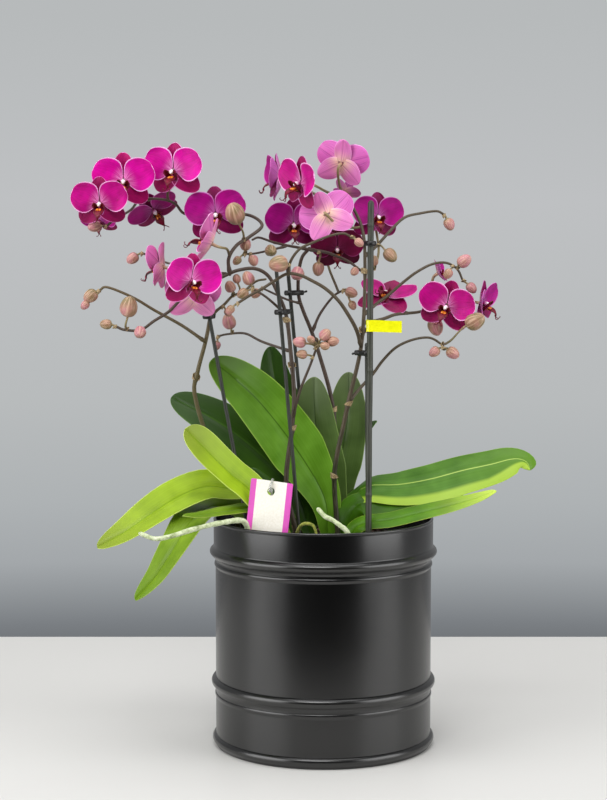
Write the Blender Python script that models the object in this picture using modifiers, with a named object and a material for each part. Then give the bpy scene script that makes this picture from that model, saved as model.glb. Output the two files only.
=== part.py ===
"""A group of flowering moth orchids (Phalaenopsis) in a black sheet-metal planter.

The origin is the middle of the planter's flat base, +Z is up and -Y is the front.
Leaves, flower spikes, flowers, stakes, clips, roots, tag and label are separate solids.
"""
import math

import bmesh
import bpy
from mathutils import Matrix, Vector

# ---- driving dimensions, in metres -------------------------------------------------------
POT_RADIUS = 0.100          # plain wall between the rolled beads
POT_HEIGHT = 0.212
POT_WALL = 0.0012           # sheet with its rolled edge
POT_FLOOR = 0.002
RIM_FLARE = 0.0017          # the band above the upper bead stands this far out
POT_STEPS = 40
BARK_TOP = 0.190
CLEARANCE = 0.0004          # air between solids that touch in the real thing

LEAF_THICKNESS = 0.0022
LEAF_CUP = 0.15             # rise of a leaf's edges over its midrib, by half its width
FLOWER_SPAN = 0.056         # across the two broad petals
TEPAL_THICKNESS = 0.0009
STAKE_RADIUS = 0.0017
BAMBOO_RADIUS = 0.0028
STALK_INSET = 0.12          # a stalk starts this share of a stretch inside the stem's ends
CLIP_WIRE = 0.0010
PLANTED = BARK_TOP + CLEARANCE
LEAF_FOOT = BARK_TOP + 0.0045   # a slanting foot stays clear of the bark
STEM_FOOT = BARK_TOP + 0.0015

# Rolled beads on the wall: height of the crest, bulge, half height.
BEADS = [(0.1809, 0.0053, 0.0046), (0.1694, 0.0011, 0.0030),
         (0.0595, 0.0040, 0.0046), (0.0478, 0.0008, 0.0030), (0.0062, 0.0031, 0.0044)]

# Leaves: blade width, direction the upper face looks in at the base and at the tip, midrib.
LEAVES = {
    "leaf_upright_front": (0.055, (0.05, -0.97, 0.2), (0.1, -0.9, 0.45),
                           [(0.004, -0.007, LEAF_FOOT), (0.001, -0.008, 0.230), (-0.0224, -0.005, 0.272),
                            (-0.0565, -0.001, 0.316), (-0.083, 0.005, 0.341), (-0.104, 0.011, 0.357)]),
    "leaf_left_dark": (0.042, (0.2, -0.75, 0.65), (0.1, -0.7, 0.7),
                       [(-0.012, 0.006, LEAF_FOOT), (-0.024, 0.010, 0.233), (-0.060, 0.016, 0.268),
                        (-0.097, 0.022, 0.296), (-0.143, 0.028, 0.3205)]),
    "leaf_left_young": (0.034, (0.35, -0.65, 0.65), (0.3, -0.7, 0.65),
                        [(-0.034, -0.036, LEAF_FOOT), (-0.064, -0.045, 0.239), (-0.083, -0.050, 0.257),
                         (-0.099, -0.055, 0.273), (-0.112, -0.058, 0.287), (-0.124, -0.060, 0.300)]),
    "leaf_left_arching": (0.046, (0.1, -0.4, 0.9), (-0.3, -0.75, 0.6),
                          [(-0.038, 0.002, LEAF_FOOT), (-0.062, -0.003, 0.232), (-0.088, -0.010, 0.2395),
                           (-0.109, -0.018, 0.2425), (-0.131, -0.032, 0.236), (-0.152, -0.044, 0.2245),
                           (-0.176, -0.056, 0.208), (-0.2036, -0.062, 0.1935)]),
    "leaf_left_hanging": (0.038, (0.0, -0.3, 0.95), (-0.45, -0.8, 0.4),
                          [(-0.052, -0.010, LEAF_FOOT), (-0.078, -0.004, 0.219), (-0.099, -0.010, 0.223),
                           (-0.109, -0.028, 0.2225), (-0.120, -0.050, 0.2155), (-0.131, -0.066, 0.200),
                           (-0.150, -0.082, 0.170), (-0.1677, -0.088, 0.1506)]),
    "leaf_left_low": (0.016, (0.0, -0.5, 0.85), (0.0, -0.5, 0.85),
                      [(-0.050, -0.038, LEAF_FOOT), (-0.062, -0.042, 0.2235), (-0.086, -0.056, 0.226),
                       (-0.104, -0.066, 0.2245), (-0.125, -0.078, 0.2255)]),
    "leaf_behind_tag": (0.014, (0.3, -0.8, 0.5), (0.3, -0.8, 0.5),
                        [(-0.030, -0.018, LEAF_FOOT), (-0.042, -0.022, 0.232), (-0.054, -0.020, 0.248),
                         (-0.066, -0.018, 0.260)]),
    "leaf_back_tall": (0.040, (0.2, -0.95, 0.2), (0.2, -0.95, 0.2),
                       [(-0.012, 0.040, LEAF_FOOT), (-0.018, 0.042, 0.240), (-0.026, 0.044, 0.281),
                        (-0.043, 0.046, 0.328), (-0.050, 0.048, 0.367)]),
    "leaf_centre_olive": (0.042, (-0.1, -0.95, 0.2), (-0.1, -0.95, 0.2),
                          [(0.018, 0.006, LEAF_FOOT), (0.006, 0.008, 0.230), (-0.001, 0.009, 0.259),
                           (-0.0066, 0.009, 0.292), (-0.0084, 0.009, 0.341)]),
    "leaf_back_right": (0.042, (-0.2, -0.95, 0.2), (-0.2, -0.95, 0.2),
                        [(0.012, 0.034, LEAF_FOOT), (0.014, 0.038, 0.245), (0.0185, 0.041, 0.2696),
                         (0.0232, 0.045, 0.2977), (0.0243, 0.050, 0.3427)]),
    "leaf_back_low": (0.020, (-0.5, -0.7, 0.4), (-0.4, -0.6, 0.6),
                      [(0.032, 0.040, LEAF_FOOT), (0.0265, 0.050, 0.245), (0.034, 0.056, 0.272),
                       (0.0510, 0.062, 0.2965)]),
    "leaf_right_long": (0.050, (-0.05, -0.35, 0.93), (0.15, -0.55, 0.82),
                        [(0.029, 0.012, LEAF_FOOT), (0.030, 0.008, 0.229), (0.042, 0.003, 0.2405),
                         (0.0695, -0.002, 0.2425), (0.0984, -0.004, 0.2478), (0.1288, -0.004, 0.256),
                         (0.1547, -0.003, 0.2615), (0.178, -0.002, 0.266), (0.1906, -0.008, 0.257)]),
    "leaf_right_second": (0.024, (-0.05, -0.40, 0.9), (0.1, -0.55, 0.83),
                          [(0.025, -0.016, LEAF_FOOT), (0.026, -0.018, 0.2110), (0.0333, -0.018, 0.2205),
                           (0.0564, -0.018, 0.2235), (0.0795, -0.018, 0.2272), (0.1015, -0.018, 0.2310),
                           (0.1349, -0.016, 0.2380)]),
    "leaf_right_low": (0.018, (-0.05, -0.55, 0.83), (0.1, -0.62, 0.78),
                       [(0.026, -0.039, LEAF_FOOT), (0.028, -0.0360, 0.200), (0.040, -0.0318, 0.2065),
                        (0.0608, -0.0395, 0.2135), (0.0866, -0.044, 0.2213), (0.1126, -0.045, 0.2280),
                        (0.1378, -0.045, 0.236), (0.1559, -0.044, 0.2425)]),
}

# Spikes: each route is a stem or branch with its radius at the start and the end.
SPIKES = {
    "spike_left": [
        (0.0027, 0.0019, [(-0.078, 0.016, STEM_FOOT), (-0.088, 0.010, 0.240), (-0.107, -0.004, 0.286),
                          (-0.118, -0.013, 0.327), (-0.115, -0.017, 0.348), (-0.107, -0.020, 0.378),
                          (-0.1025, -0.021, 0.402)]),
        (0.0017, 0.0012, [(-0.108, -0.022, 0.376), (-0.128, -0.033, 0.391), (-0.152, -0.040, 0.405),
                          (-0.172, -0.042, 0.417), (-0.194, -0.045, 0.426), (-0.201, -0.046, 0.423)]),
        (0.0015, 0.0011, [(-0.1025, -0.021, 0.400), (-0.091, -0.018, 0.409), (-0.083, -0.015, 0.417),
                          (-0.073, -0.012, 0.421), (-0.062, -0.008, 0.430), (-0.053, -0.006, 0.432)]),
    ],
    "spike_arching": [
        (0.0027, 0.0013, [(-0.022, -0.025, STEM_FOOT), (-0.034, -0.027, 0.244), (-0.029, -0.027, 0.296),
                          (-0.027, -0.025, 0.328), (-0.030, -0.023, 0.366), (-0.034, -0.021, 0.399),
                          (-0.041, -0.020, 0.418), (-0.050, -0.020, 0.435), (-0.062, -0.022, 0.442),
                          (-0.076, -0.024, 0.441), (-0.087, -0.026, 0.437), (-0.107, -0.034, 0.427),
                          (-0.125, -0.045, 0.418), (-0.138, -0.049, 0.405), (-0.152, -0.050, 0.396),
                          (-0.164, -0.050, 0.388), (-0.178, -0.050, 0.388), (-0.186, -0.050, 0.391)]),
        (0.0013, 0.0010, [(-0.086, -0.026, 0.437), (-0.112, -0.014, 0.441), (-0.139, -0.010, 0.446),
                          (-0.156, -0.010, 0.452), (-0.165, -0.012, 0.456)]),
        (0.0018, 0.0012, [(-0.085, -0.026, 0.437), (-0.086, -0.027, 0.451), (-0.079, -0.024, 0.463),
                          (-0.067, -0.018, 0.471), (-0.056, -0.012, 0.481), (-0.067, -0.002, 0.490),
                          (-0.090, 0.006, 0.492), (-0.113, 0.008, 0.490), (-0.128, 0.004, 0.492),
                          (-0.136, -0.002, 0.501), (-0.149, -0.004, 0.505), (-0.167, -0.008, 0.504),
                          (-0.175, -0.016, 0.495), (-0.188, -0.022, 0.487), (-0.197, -0.024, 0.480)]),
        (0.0016, 0.0012, [(-0.028, -0.027, 0.307), (-0.022, -0.036, 0.331), (-0.012, -0.044, 0.357),
                          (-0.006, -0.050, 0.374)]),
        (0.0014, 0.0011, [(-0.030, -0.023, 0.367), (-0.056, -0.010, 0.375), (-0.072, 0.000, 0.382),
                          (-0.088, 0.008, 0.381), (-0.097, 0.012, 0.379)]),
        (0.0014, 0.0011, [(-0.034, -0.021, 0.400), (-0.050, -0.030, 0.415), (-0.060, -0.036, 0.422),
                          (-0.064, -0.038, 0.424)]),
    ],
    "spike_middle": [
        (0.0026, 0.0017, [(0.012, 0.016, STEM_FOOT), (0.012, 0.018, 0.240), (0.011, 0.021, 0.290),
                          (0.007, 0.023, 0.323), (-0.004, 0.024, 0.362), (-0.011, 0.020, 0.383),
                          (-0.019, 0.015, 0.403), (-0.023, 0.014, 0.417), (-0.023, 0.012, 0.435),
                          (-0.020, 0.010, 0.451), (-0.013, 0.010, 0.460)]),
        (0.0015, 0.0011, [(-0.014, 0.010, 0.459), (-0.035, 0.004, 0.463), (-0.047, 0.000, 0.466),
                          (-0.059, -0.004, 0.470), (-0.065, -0.007, 0.468)]),
        (0.0016, 0.0012, [(-0.014, 0.010, 0.459), (0.004, 0.001, 0.456), (0.023, -0.002, 0.448),
                          (0.036, -0.004, 0.439), (0.046, -0.003, 0.441)]),
        (0.0012, 0.0010, [(-0.034, 0.004, 0.462), (-0.060, -0.004, 0.456), (-0.072, -0.010, 0.455)]),
        (0.0015, 0.0011, [(-0.010, 0.020, 0.383), (-0.003, 0.022, 0.399), (0.009, 0.022, 0.415),
                          (0.018, 0.020, 0.421)]),
        (0.0012, 0.0010, [(-0.021, 0.014, 0.409), (-0.033, 0.000, 0.413), (-0.046, -0.002, 0.419),
                          (-0.056, -0.008, 0.424)]),
    ],
    "spike_right": [
        (0.0027, 0.0013, [(0.014, -0.024, STEM_FOOT), (0.010, -0.022, 0.240), (0.011, -0.024, 0.266),
                          (0.018, -0.026, 0.300), (0.024, -0.026, 0.328), (0.030, -0.026, 0.352),
                          (0.034, -0.027, 0.373), (0.036, -0.028, 0.396), (0.037, -0.029, 0.423),
                          (0.037, -0.030, 0.448), (0.036, -0.029, 0.470), (0.031, -0.022, 0.488),
                          (0.019, -0.012, 0.507), (0.006, 0.000, 0.508), (-0.004, 0.008, 0.508)]),
        (0.0020, 0.0013, [(0.034, -0.028, 0.372), (0.029, -0.034, 0.388), (0.020, -0.040, 0.404),
                          (0.012, -0.044, 0.415), (0.001, -0.047, 0.425), (-0.011, -0.048, 0.432),
                          (-0.022, -0.048, 0.437), (-0.033, -0.048, 0.438), (-0.044, -0.049, 0.432),
                          (-0.055, -0.050, 0.425), (-0.066, -0.050, 0.419), (-0.077, -0.050, 0.412)]),
        (0.0015, 0.0011, [(-0.032, -0.048, 0.437), (-0.030, -0.050, 0.449), (-0.022, -0.052, 0.460),
                          (-0.010, -0.054, 0.466), (0.005, -0.056, 0.472), (0.017, -0.056, 0.474),
                          (0.024, -0.056, 0.471)]),
        (0.0016, 0.0012, [(0.037, -0.030, 0.453), (0.048, -0.024, 0.463), (0.060, -0.020, 0.476),
                          (0.073, -0.014, 0.488), (0.088, -0.006, 0.492), (0.103, -0.002, 0.494),
                          (0.110, 0.000, 0.491)]),
        (0.0017, 0.0011, [(0.037, -0.028, 0.401), (0.048, -0.018, 0.410), (0.059, -0.015, 0.418),
                          (0.073, -0.014, 0.430), (0.085, -0.014, 0.439), (0.099, -0.012, 0.446),
                          (0.112, -0.010, 0.447), (0.122, -0.010, 0.441), (0.127, -0.008, 0.431)]),
        (0.0018, 0.0012, [(0.036, -0.028, 0.393), (0.053, -0.018, 0.396), (0.065, -0.014, 0.400),
                          (0.078, -0.006, 0.401), (0.089, 0.002, 0.402), (0.112, 0.012, 0.407),
                          (0.132, 0.012, 0.411)]),
        (0.0017, 0.0011, [(0.023, -0.026, 0.322), (0.033, -0.020, 0.333), (0.045, -0.016, 0.346),
                          (0.054, -0.014, 0.358), (0.066, -0.014, 0.370), (0.081, -0.014, 0.377),
                          (0.096, -0.014, 0.379), (0.106, -0.014, 0.374), (0.110, -0.014, 0.369)]),
    ],
}

# Buds: middle of the bud and its length.
BUDS = {
    "spike_left": [((-0.209, -0.046, 0.418), 0.014), ((-0.214, -0.047, 0.410), 0.009),
                   ((-0.087, -0.020, 0.402), 0.008), ((-0.085, -0.022, 0.426), 0.012),
                   ((-0.079, -0.020, 0.433), 0.009)],
    "spike_arching": [((-0.174, -0.054, 0.409), 0.019), ((-0.195, -0.050, 0.393), 0.011),
                      ((-0.164, -0.057, 0.386), 0.013), ((-0.174, -0.013, 0.451), 0.012),
                      ((-0.207, -0.030, 0.480), 0.012), ((-0.080, -0.034, 0.492), 0.021),
                      ((-0.022, -0.050, 0.377), 0.012), ((-0.020, -0.048, 0.366), 0.010),
                      ((-0.012, -0.056, 0.380), 0.008), ((0.001, -0.054, 0.384), 0.012),
                      ((0.008, -0.052, 0.378), 0.011), ((0.001, -0.056, 0.374), 0.009),
                      ((-0.087, 0.004, 0.393), 0.015), ((-0.099, 0.014, 0.370), 0.009),
                      ((-0.073, -0.040, 0.420), 0.011), ((-0.068, -0.038, 0.434), 0.013)],
    "spike_middle": [((-0.071, -0.014, 0.464), 0.012), ((-0.048, -0.010, 0.458), 0.013),
                     ((-0.064, -0.012, 0.449), 0.011), ((-0.079, -0.014, 0.449), 0.009),
                     ((0.046, -0.006, 0.449), 0.010), ((0.028, -0.009, 0.439), 0.009),
                     ((0.026, 0.018, 0.419), 0.012), ((0.027, 0.018, 0.407), 0.009),
                     ((-0.005, 0.006, 0.441), 0.013), ((-0.024, -0.008, 0.437), 0.015),
                     ((-0.062, -0.012, 0.419), 0.010)],
    "spike_right": [((-0.041, -0.056, 0.447), 0.018), ((0.031, -0.058, 0.466), 0.009),
                    ((0.115, 0.001, 0.482), 0.012), ((0.060, -0.028, 0.454), 0.014),
                    ((0.128, -0.012, 0.449), 0.014), ((0.113, -0.014, 0.437), 0.010),
                    ((0.135, -0.009, 0.424), 0.011), ((0.137, -0.028, 0.395), 0.019),
                    ((0.103, 0.001, 0.388), 0.017), ((0.101, -0.015, 0.366), 0.011),
                    ((0.118, -0.015, 0.365), 0.013), ((-0.084, -0.052, 0.406), 0.009)],
}

# Flowers: spike, middle, facing azimuth (0 = front, 90 = right), elevation, roll, size and,
# where a stalk winds behind the petals, the points that it passes.
FLOWERS = [
    ("spike_arching", (-0.200, -0.044, 0.501), -5, -10, 0, 0.90, []),
    ("spike_arching", (-0.180, -0.030, 0.521), 0, -8, 2, 1.00, []),
    ("spike_arching", (-0.135, -0.022, 0.530), -28, -6, 0, 1.00, []),
    ("spike_arching", (-0.156, 0.014, 0.490), -150, -40, 0, 0.80, []),
    ("spike_arching", (-0.206, -0.002, 0.468), -20, -70, 0, 0.70, []),
    ("spike_arching", (-0.098, -0.014, 0.491), 0, -5, -12, 1.00, []),
    ("spike_arching", (-0.100, -0.054, 0.467), -100, 10, 0, 0.90, []),
    ("spike_arching", (-0.121, -0.064, 0.432), -15, -12, 7, 1.00, []),
    ("spike_arching", (-0.121, -0.040, 0.406), 180, -30, 0, 0.90, []),
    ("spike_arching", (-0.153, -0.046, 0.447), -88, 5, 0, 0.85, []),
    ("spike_right", (-0.045, 0.016, 0.524), -110, 0, 0, 0.90, []),
    ("spike_right", (-0.028, -0.032, 0.517), -60, 0, 0, 0.90, []),
    ("spike_right", (0.016, -0.018, 0.537), 160, 15, 0, 0.90, []),
    ("spike_right", (-0.028, 0.018, 0.482), 8, -10, 0, 0.94, []),
    ("spike_right", (0.003, -0.038, 0.490), 170, -10, 0, 0.90, []),
    ("spike_middle", (0.049, 0.002, 0.489), 15, -5, 0, 0.88,
     [(0.048, 0.004, 0.446), (0.051, 0.014, 0.460)]),
    ("spike_middle", (0.013, 0.026, 0.460), 0, -20, 0, 0.88, [(0.004, 0.040, 0.448)]),
    ("spike_right", (0.056, 0.008, 0.424), -20, 10, 0, 0.95,
     [(0.078, -0.005, 0.401), (0.074, 0.010, 0.402)]),
    ("spike_right", (0.112, -0.018, 0.408), 18, -10, 15, 0.95, []),
    ("spike_right", (0.150, 0.004, 0.414), 86, 5, 0, 0.80, []),
    ("spike_right", (0.106, 0.012, 0.437), 80, 30, 0, 0.50, []),
    ("spike_right", (0.020, 0.022, 0.511), 180, 20, 0, 0.70, []),
]

# Stakes: radius, foot, top.
STAKES = {
    "stake_left": (STAKE_RADIUS, (-0.066, -0.037, PLANTED), (-0.105, -0.029, 0.407)),
    "stake_centre_front": (STAKE_RADIUS, (-0.021, -0.040, PLANTED), (-0.043, -0.029, 0.442)),
    "stake_centre_back": (STAKE_RADIUS, (-0.010, 0.024, PLANTED), (-0.033, 0.007, 0.442)),
    "stake_right_bamboo": (BAMBOO_RADIUS, (0.040, -0.052, PLANTED), (0.042, -0.037, 0.501)),
    "stake_right_thin": (STAKE_RADIUS, (0.040, -0.0455, PLANTED), (0.0385, -0.0340, 0.374)),
}

# Clips: the two rods that each ring holds together, at the ring's height.
CLIPS = {
    "clip_left": ((-0.1047, -0.0289, 0.399), (-0.1033, -0.0210, 0.399)),
    "clip_centre_front": ((-0.0397, -0.0306, 0.403), (-0.0355, -0.0205, 0.403)),
    "clip_centre_back": ((-0.0310, 0.0078, 0.419), (-0.0230, 0.0140, 0.419)),
    "clip_right_top": ((0.0417, -0.0386, 0.465), (0.0362, -0.0292, 0.465)),
    "clip_right_low": ((0.0386, -0.0345, 0.366), (0.0328, -0.0266, 0.366)),
}

# Air roots: radius and route.
ROOTS = {
    "air_root_left": (0.0026, [(-0.068, -0.063, 0.199), (-0.069, -0.066, 0.213), (-0.074, -0.073, 0.2195),
                               (-0.089, -0.088, 0.220), (-0.103, -0.098, 0.2185), (-0.118, -0.105, 0.2155),
                               (-0.134, -0.109, 0.211), (-0.148, -0.110, 0.209), (-0.161, -0.107, 0.213)]),
    "air_root_front": (0.0026, [(-0.006, -0.062, 0.200), (-0.004, -0.070, 0.226), (0.003, -0.078, 0.222),
                                (0.011, -0.083, 0.218), (0.019, -0.085, 0.213), (0.022, -0.085, 0.203)]),
    "air_root_hook": (0.0022, [(-0.018, -0.062, 0.196), (-0.018, -0.070, 0.211), (-0.013, -0.078, 0.217),
                               (-0.008, -0.083, 0.214), (-0.006, -0.084, 0.204)]),
}

TAG_SIZE = (0.040, 0.0008, 0.050)       # wide, thick, high
TAG_PLACE = (-0.0440, -0.0660, 0.2265)
LABEL_SIZE = (0.031, 0.0006, 0.0105)
LABEL_PLACE = (0.0545, -0.0463, 0.391)


# ---- helpers -----------------------------------------------------------------------------
def clear_scene():
    for old in list(bpy.data.objects):
        bpy.data.objects.remove(old, do_unlink=True)


def collection(name):
    made = bpy.data.collections.new(name)
    bpy.context.scene.collection.children.link(made)
    return made


def material(name, colour, roughness, metallic=0.0):
    made = bpy.data.materials.new(name)
    made.use_nodes = True
    shader = made.node_tree.nodes["Principled BSDF"]
    shader.inputs["Base Color"].default_value = (*colour, 1.0)
    shader.inputs["Roughness"].default_value = roughness
    shader.inputs["Metallic"].default_value = metallic
    return made


def add_object(name, mesh, look, home):
    made = bpy.data.objects.new(name, mesh)
    if look and not mesh.materials:
        mesh.materials.append(look)
    home.objects.link(made)
    return made


def mesh_from_bmesh(name, cage, smooth=True):
    mesh = bpy.data.meshes.new(name)
    cage.to_mesh(mesh)
    cage.free()
    if smooth:
        mesh.shade_smooth()
    return mesh


def tube_mesh(name, points, start_radius, end_radius, sides=1, cyclic=False):
    """A round tube along the points, as a closed mesh with welded caps."""
    curve = bpy.data.curves.new(name, "CURVE")
    curve.dimensions = "3D"
    curve.bevel_depth = 1.0
    curve.bevel_resolution = sides
    curve.use_fill_caps = not cyclic
    spline = curve.splines.new("POLY")
    spline.points.add(len(points) - 1)
    spline.use_cyclic_u = cyclic
    for index, point in enumerate(points):
        share = index / (len(points) - 1)
        spline.points[index].co = (*point, 1.0)
        spline.points[index].radius = start_radius + (end_radius - start_radius) * share
    guide = bpy.data.objects.new(name + "_guide", curve)
    bpy.context.scene.collection.objects.link(guide)
    evaluated = guide.evaluated_get(bpy.context.evaluated_depsgraph_get())
    mesh = bpy.data.meshes.new_from_object(evaluated)
    cage = bmesh.new()
    cage.from_mesh(mesh)
    bmesh.ops.remove_doubles(cage, verts=cage.verts, dist=0.00002)
    cage.to_mesh(mesh)
    cage.free()
    mesh.shade_smooth()
    bpy.data.objects.remove(guide, do_unlink=True)
    bpy.data.curves.remove(curve)
    return mesh


def smooth_route(points, per_span):
    """Points along a smooth curve through the given ones (Catmull-Rom)."""
    knots = [Vector(p) for p in points]
    knots = [2 * knots[0] - knots[1]] + knots + [2 * knots[-1] - knots[-2]]
    route = []
    for index in range(1, len(knots) - 2):
        a, b, c, d = knots[index - 1:index + 3]
        for step in range(per_span):
            t = step / per_span
            route.append(0.5 * (2 * b + (c - a) * t + (2 * a - 5 * b + 4 * c - d) * t ** 2
                                + (3 * b - a - 3 * c + d) * t ** 3))
    return route + [knots[-2]]


def nearest_on(routes, target):
    """The point on any of the routes that lies nearest to the target."""
    best = None
    for route in routes:
        for start, end in zip(route, route[1:]):
            span = end - start
            share = (target - start).dot(span) / span.length_squared
            share = max(STALK_INSET, min(1.0 - STALK_INSET, share))
            point = start + span * share
            if best is None or (point - target).length < (best - target).length:
                best = point
    return best


def facing(azimuth, elevation):
    """Unit vector of a flower that looks to the given azimuth and elevation, in degrees."""
    turn = math.radians(azimuth)
    lift = math.radians(elevation)
    return Vector((math.sin(turn) * math.cos(lift), -math.cos(turn) * math.cos(lift), math.sin(lift)))


# ---- planter -----------------------------------------------------------------------------
def wall_radius(z):
    """Outer radius of the planter at a height, with its rolled beads."""
    rim_foot = BEADS[0][0]
    radius = POT_RADIUS + (RIM_FLARE if z > rim_foot else 0.0)
    for crest, bulge, half in BEADS:
        reach = abs(z - crest) / half
        if reach < 1.0:
            arc = POT_RADIUS + bulge * math.sqrt(1.0 - reach ** 2)
            radius = max(radius, arc)
    return radius


def build_planter(home):
    heights = [0.0, POT_HEIGHT - 0.001, POT_HEIGHT]
    for crest, _, half in BEADS:
        heights += [max(0.0, crest + half * part) for part in (1.0, 0.75, 0.0, -0.75, -1.0)]
    outer = [(wall_radius(z), z) for z in sorted(set(heights), reverse=True)]
    outer[0] = (outer[0][0] - 0.0005, POT_HEIGHT)
    bore = POT_RADIUS - POT_WALL
    profile = [(0.0, POT_FLOOR), (bore, POT_FLOOR), (bore, POT_HEIGHT)] + outer + [(0.0, 0.0)]
    cage = bmesh.new()
    corners = [cage.verts.new((r, 0.0, z)) for r, z in profile]
    for start, end in zip(corners, corners[1:]):
        cage.edges.new((start, end))
    pot = add_object("planter", mesh_from_bmesh("planter", cage, smooth=False),
                     material("black_enamel", (0.012, 0.012, 0.013), 0.42), home)
    screw = pot.modifiers.new("turn", "SCREW")
    screw.steps = POT_STEPS
    screw.render_steps = POT_STEPS
    screw.use_merge_vertices = True
    screw.merge_threshold = 0.00005
    screw.use_smooth_shade = True


def build_bark(home):
    radius = POT_RADIUS - POT_WALL - CLEARANCE
    foot = POT_FLOOR + CLEARANCE
    cage = bmesh.new()
    bmesh.ops.create_cone(cage, cap_ends=True, segments=POT_STEPS, radius1=radius, radius2=radius,
                          depth=BARK_TOP - foot)
    bark = add_object("bark_bed", mesh_from_bmesh("bark_bed", cage, smooth=False),
                      material("pine_bark", (0.055, 0.030, 0.018), 0.9), home)
    bark.location.z = (BARK_TOP + foot) / 2


# ---- leaves ------------------------------------------------------------------------------
def blade_width(share):
    """Width of a leaf at a share of its length, as part of its greatest width."""
    return max(0.05, (0.16 + 0.84 * min(1.0, share / 0.42) ** 0.9) * math.sqrt(max(0.0, 1 - share ** 5)))


def build_leaf(name, width, face_base, face_tip, midrib, look, home):
    route = smooth_route(midrib, 2)
    cage = bmesh.new()
    rows = []
    for index, point in enumerate(route):
        share = index / (len(route) - 1)
        along = (route[min(index + 1, len(route) - 1)] - route[max(index - 1, 0)]).normalized()
        face = Vector(face_base).lerp(Vector(face_tip), share)
        across = along.cross(face).normalized()
        face = across.cross(along).normalized()
        half = width / 2 * blade_width(share)
        rows.append([cage.verts.new(point + across * half * side + face * half * LEAF_CUP * abs(side))
                     for side in (-1.0, -0.5, 0.0, 0.5, 1.0)])
    for row, following in zip(rows, rows[1:]):
        for side in range(4):
            cage.faces.new((row[side], row[side + 1], following[side + 1], following[side]))
    leaf = add_object(name, mesh_from_bmesh(name, cage), look, home)
    thick = leaf.modifiers.new("thickness", "SOLIDIFY")
    thick.thickness = LEAF_THICKNESS
    thick.offset = 0.0


# ---- spikes with their buds ---------------------------------------------------------------
def bud_mesh(name, place, axis, length):
    cage = bmesh.new()
    bmesh.ops.create_uvsphere(cage, u_segments=7, v_segments=4, radius=0.5)
    bmesh.ops.scale(cage, verts=cage.verts, vec=(length * 0.84, length * 0.84, length))
    turn = Vector((0, 0, 1)).rotation_difference(axis).to_matrix()
    bmesh.ops.rotate(cage, verts=cage.verts, matrix=turn)
    bmesh.ops.translate(cage, verts=cage.verts, vec=place)
    return mesh_from_bmesh(name, cage)


def stalk(routes, stops, radius, name):
    """A thin stalk from the nearest stem through the stops."""
    stops = [Vector(p) for p in stops]
    return tube_mesh(name, [nearest_on(routes, stops[0])] + stops, radius, radius, sides=0)


def spike_pieces(name):
    """Tubes and buds of one spike, the main stem first."""
    routes = [[Vector(p) for p in route] for _, _, route in SPIKES[name]]
    tubes = [tube_mesh(name, route, start, end, sides=1 if start > 0.0024 else 0)
             for start, end, route in SPIKES[name]]
    for middle, length in BUDS[name]:
        middle = Vector(middle)
        axis = (middle - nearest_on(routes, middle)).normalized()
        tubes.append(stalk(routes, [middle], 0.0010, name))
        tubes.append(bud_mesh(name, middle, axis, length))
    for spike, middle, azimuth, elevation, _, _, passing in FLOWERS:
        if spike == name:
            look = facing(azimuth, elevation)
            back = Vector(middle) - look * 0.0034
            bend = Vector(middle) - look * 0.0110
            tubes.append(stalk(routes, [*passing, bend, back], 0.0011, name))
    return tubes


def build_spike(name, look, home, cutters):
    pieces = spike_pieces(name)
    spike = add_object(name, pieces[0], look, home)
    for index, mesh in enumerate(pieces[1:]):
        extra = add_object(f"{name}_piece_{index:02d}", mesh, look, cutters)
        extra.hide_render = True
        extra.display_type = "WIRE"
        join = spike.modifiers.new(f"join_{index:02d}", "BOOLEAN")
        join.operation = "UNION"
        join.object = extra


# ---- flowers -----------------------------------------------------------------------------
def flower_mesh(look):
    """A five-lobed plate with the column and lip as a rise in the middle."""
    reaches = [(90, 0.43), (112, 0.36), (122, 0.20), (140, 0.44), (165, 0.50), (192, 0.43), (206, 0.22),
               (222, 0.40), (238, 0.46), (255, 0.34), (270, 0.22)]
    outline = reaches + [(180 - angle, reach) for angle, reach in reversed(reaches[1:-1])]
    cage = bmesh.new()
    centre = cage.verts.new((0.0, 0.0, 0.0065))
    rings = []
    for part, rise in ((0.30, 0.0020), (1.0, 0.0012)):
        ring = []
        for angle, reach in outline:
            turn = math.radians(angle)
            radius = reach * FLOWER_SPAN * part if part == 1.0 else 0.30 * 0.40 * FLOWER_SPAN
            ring.append(cage.verts.new((radius * math.cos(turn), radius * math.sin(turn), rise)))
        rings.append(ring)
    for index in range(len(outline)):
        after = (index + 1) % len(outline)
        cage.faces.new((centre, rings[0][index], rings[0][after]))
        cage.faces.new((rings[0][index], rings[1][index], rings[1][after], rings[0][after]))
    mesh = mesh_from_bmesh("flower", cage)
    mesh.materials.append(look)
    return mesh


def build_flowers(home):
    mesh = flower_mesh(material("magenta_petal", (0.52, 0.004, 0.30), 0.5))
    for index, (_, middle, azimuth, elevation, roll, size, _) in enumerate(FLOWERS, 1):
        flower = add_object(f"flower_{index:02d}", mesh, None, home)
        flower.rotation_mode = "QUATERNION"
        # local +Z looks out of the flower and local +Y towards its upper sepal
        look = facing(azimuth, elevation)
        right = Vector((math.cos(math.radians(azimuth)), math.sin(math.radians(azimuth)), 0.0))
        up = look.cross(right)
        lean = math.radians(roll)
        across = right * math.cos(lean) - up * math.sin(lean)
        upward = look.cross(across)
        turn = axes_turn(across, upward, look)
        flower.rotation_quaternion = turn.to_quaternion()
        flower.location = middle
        flower.scale = (size, size, size)
        thick = flower.modifiers.new("thickness", "SOLIDIFY")
        thick.thickness = TEPAL_THICKNESS
        thick.offset = 0.0


def axes_turn(across, upward, look):
    """Rotation whose columns are the three given axes."""
    return Matrix((across, upward, look)).transposed()


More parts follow.
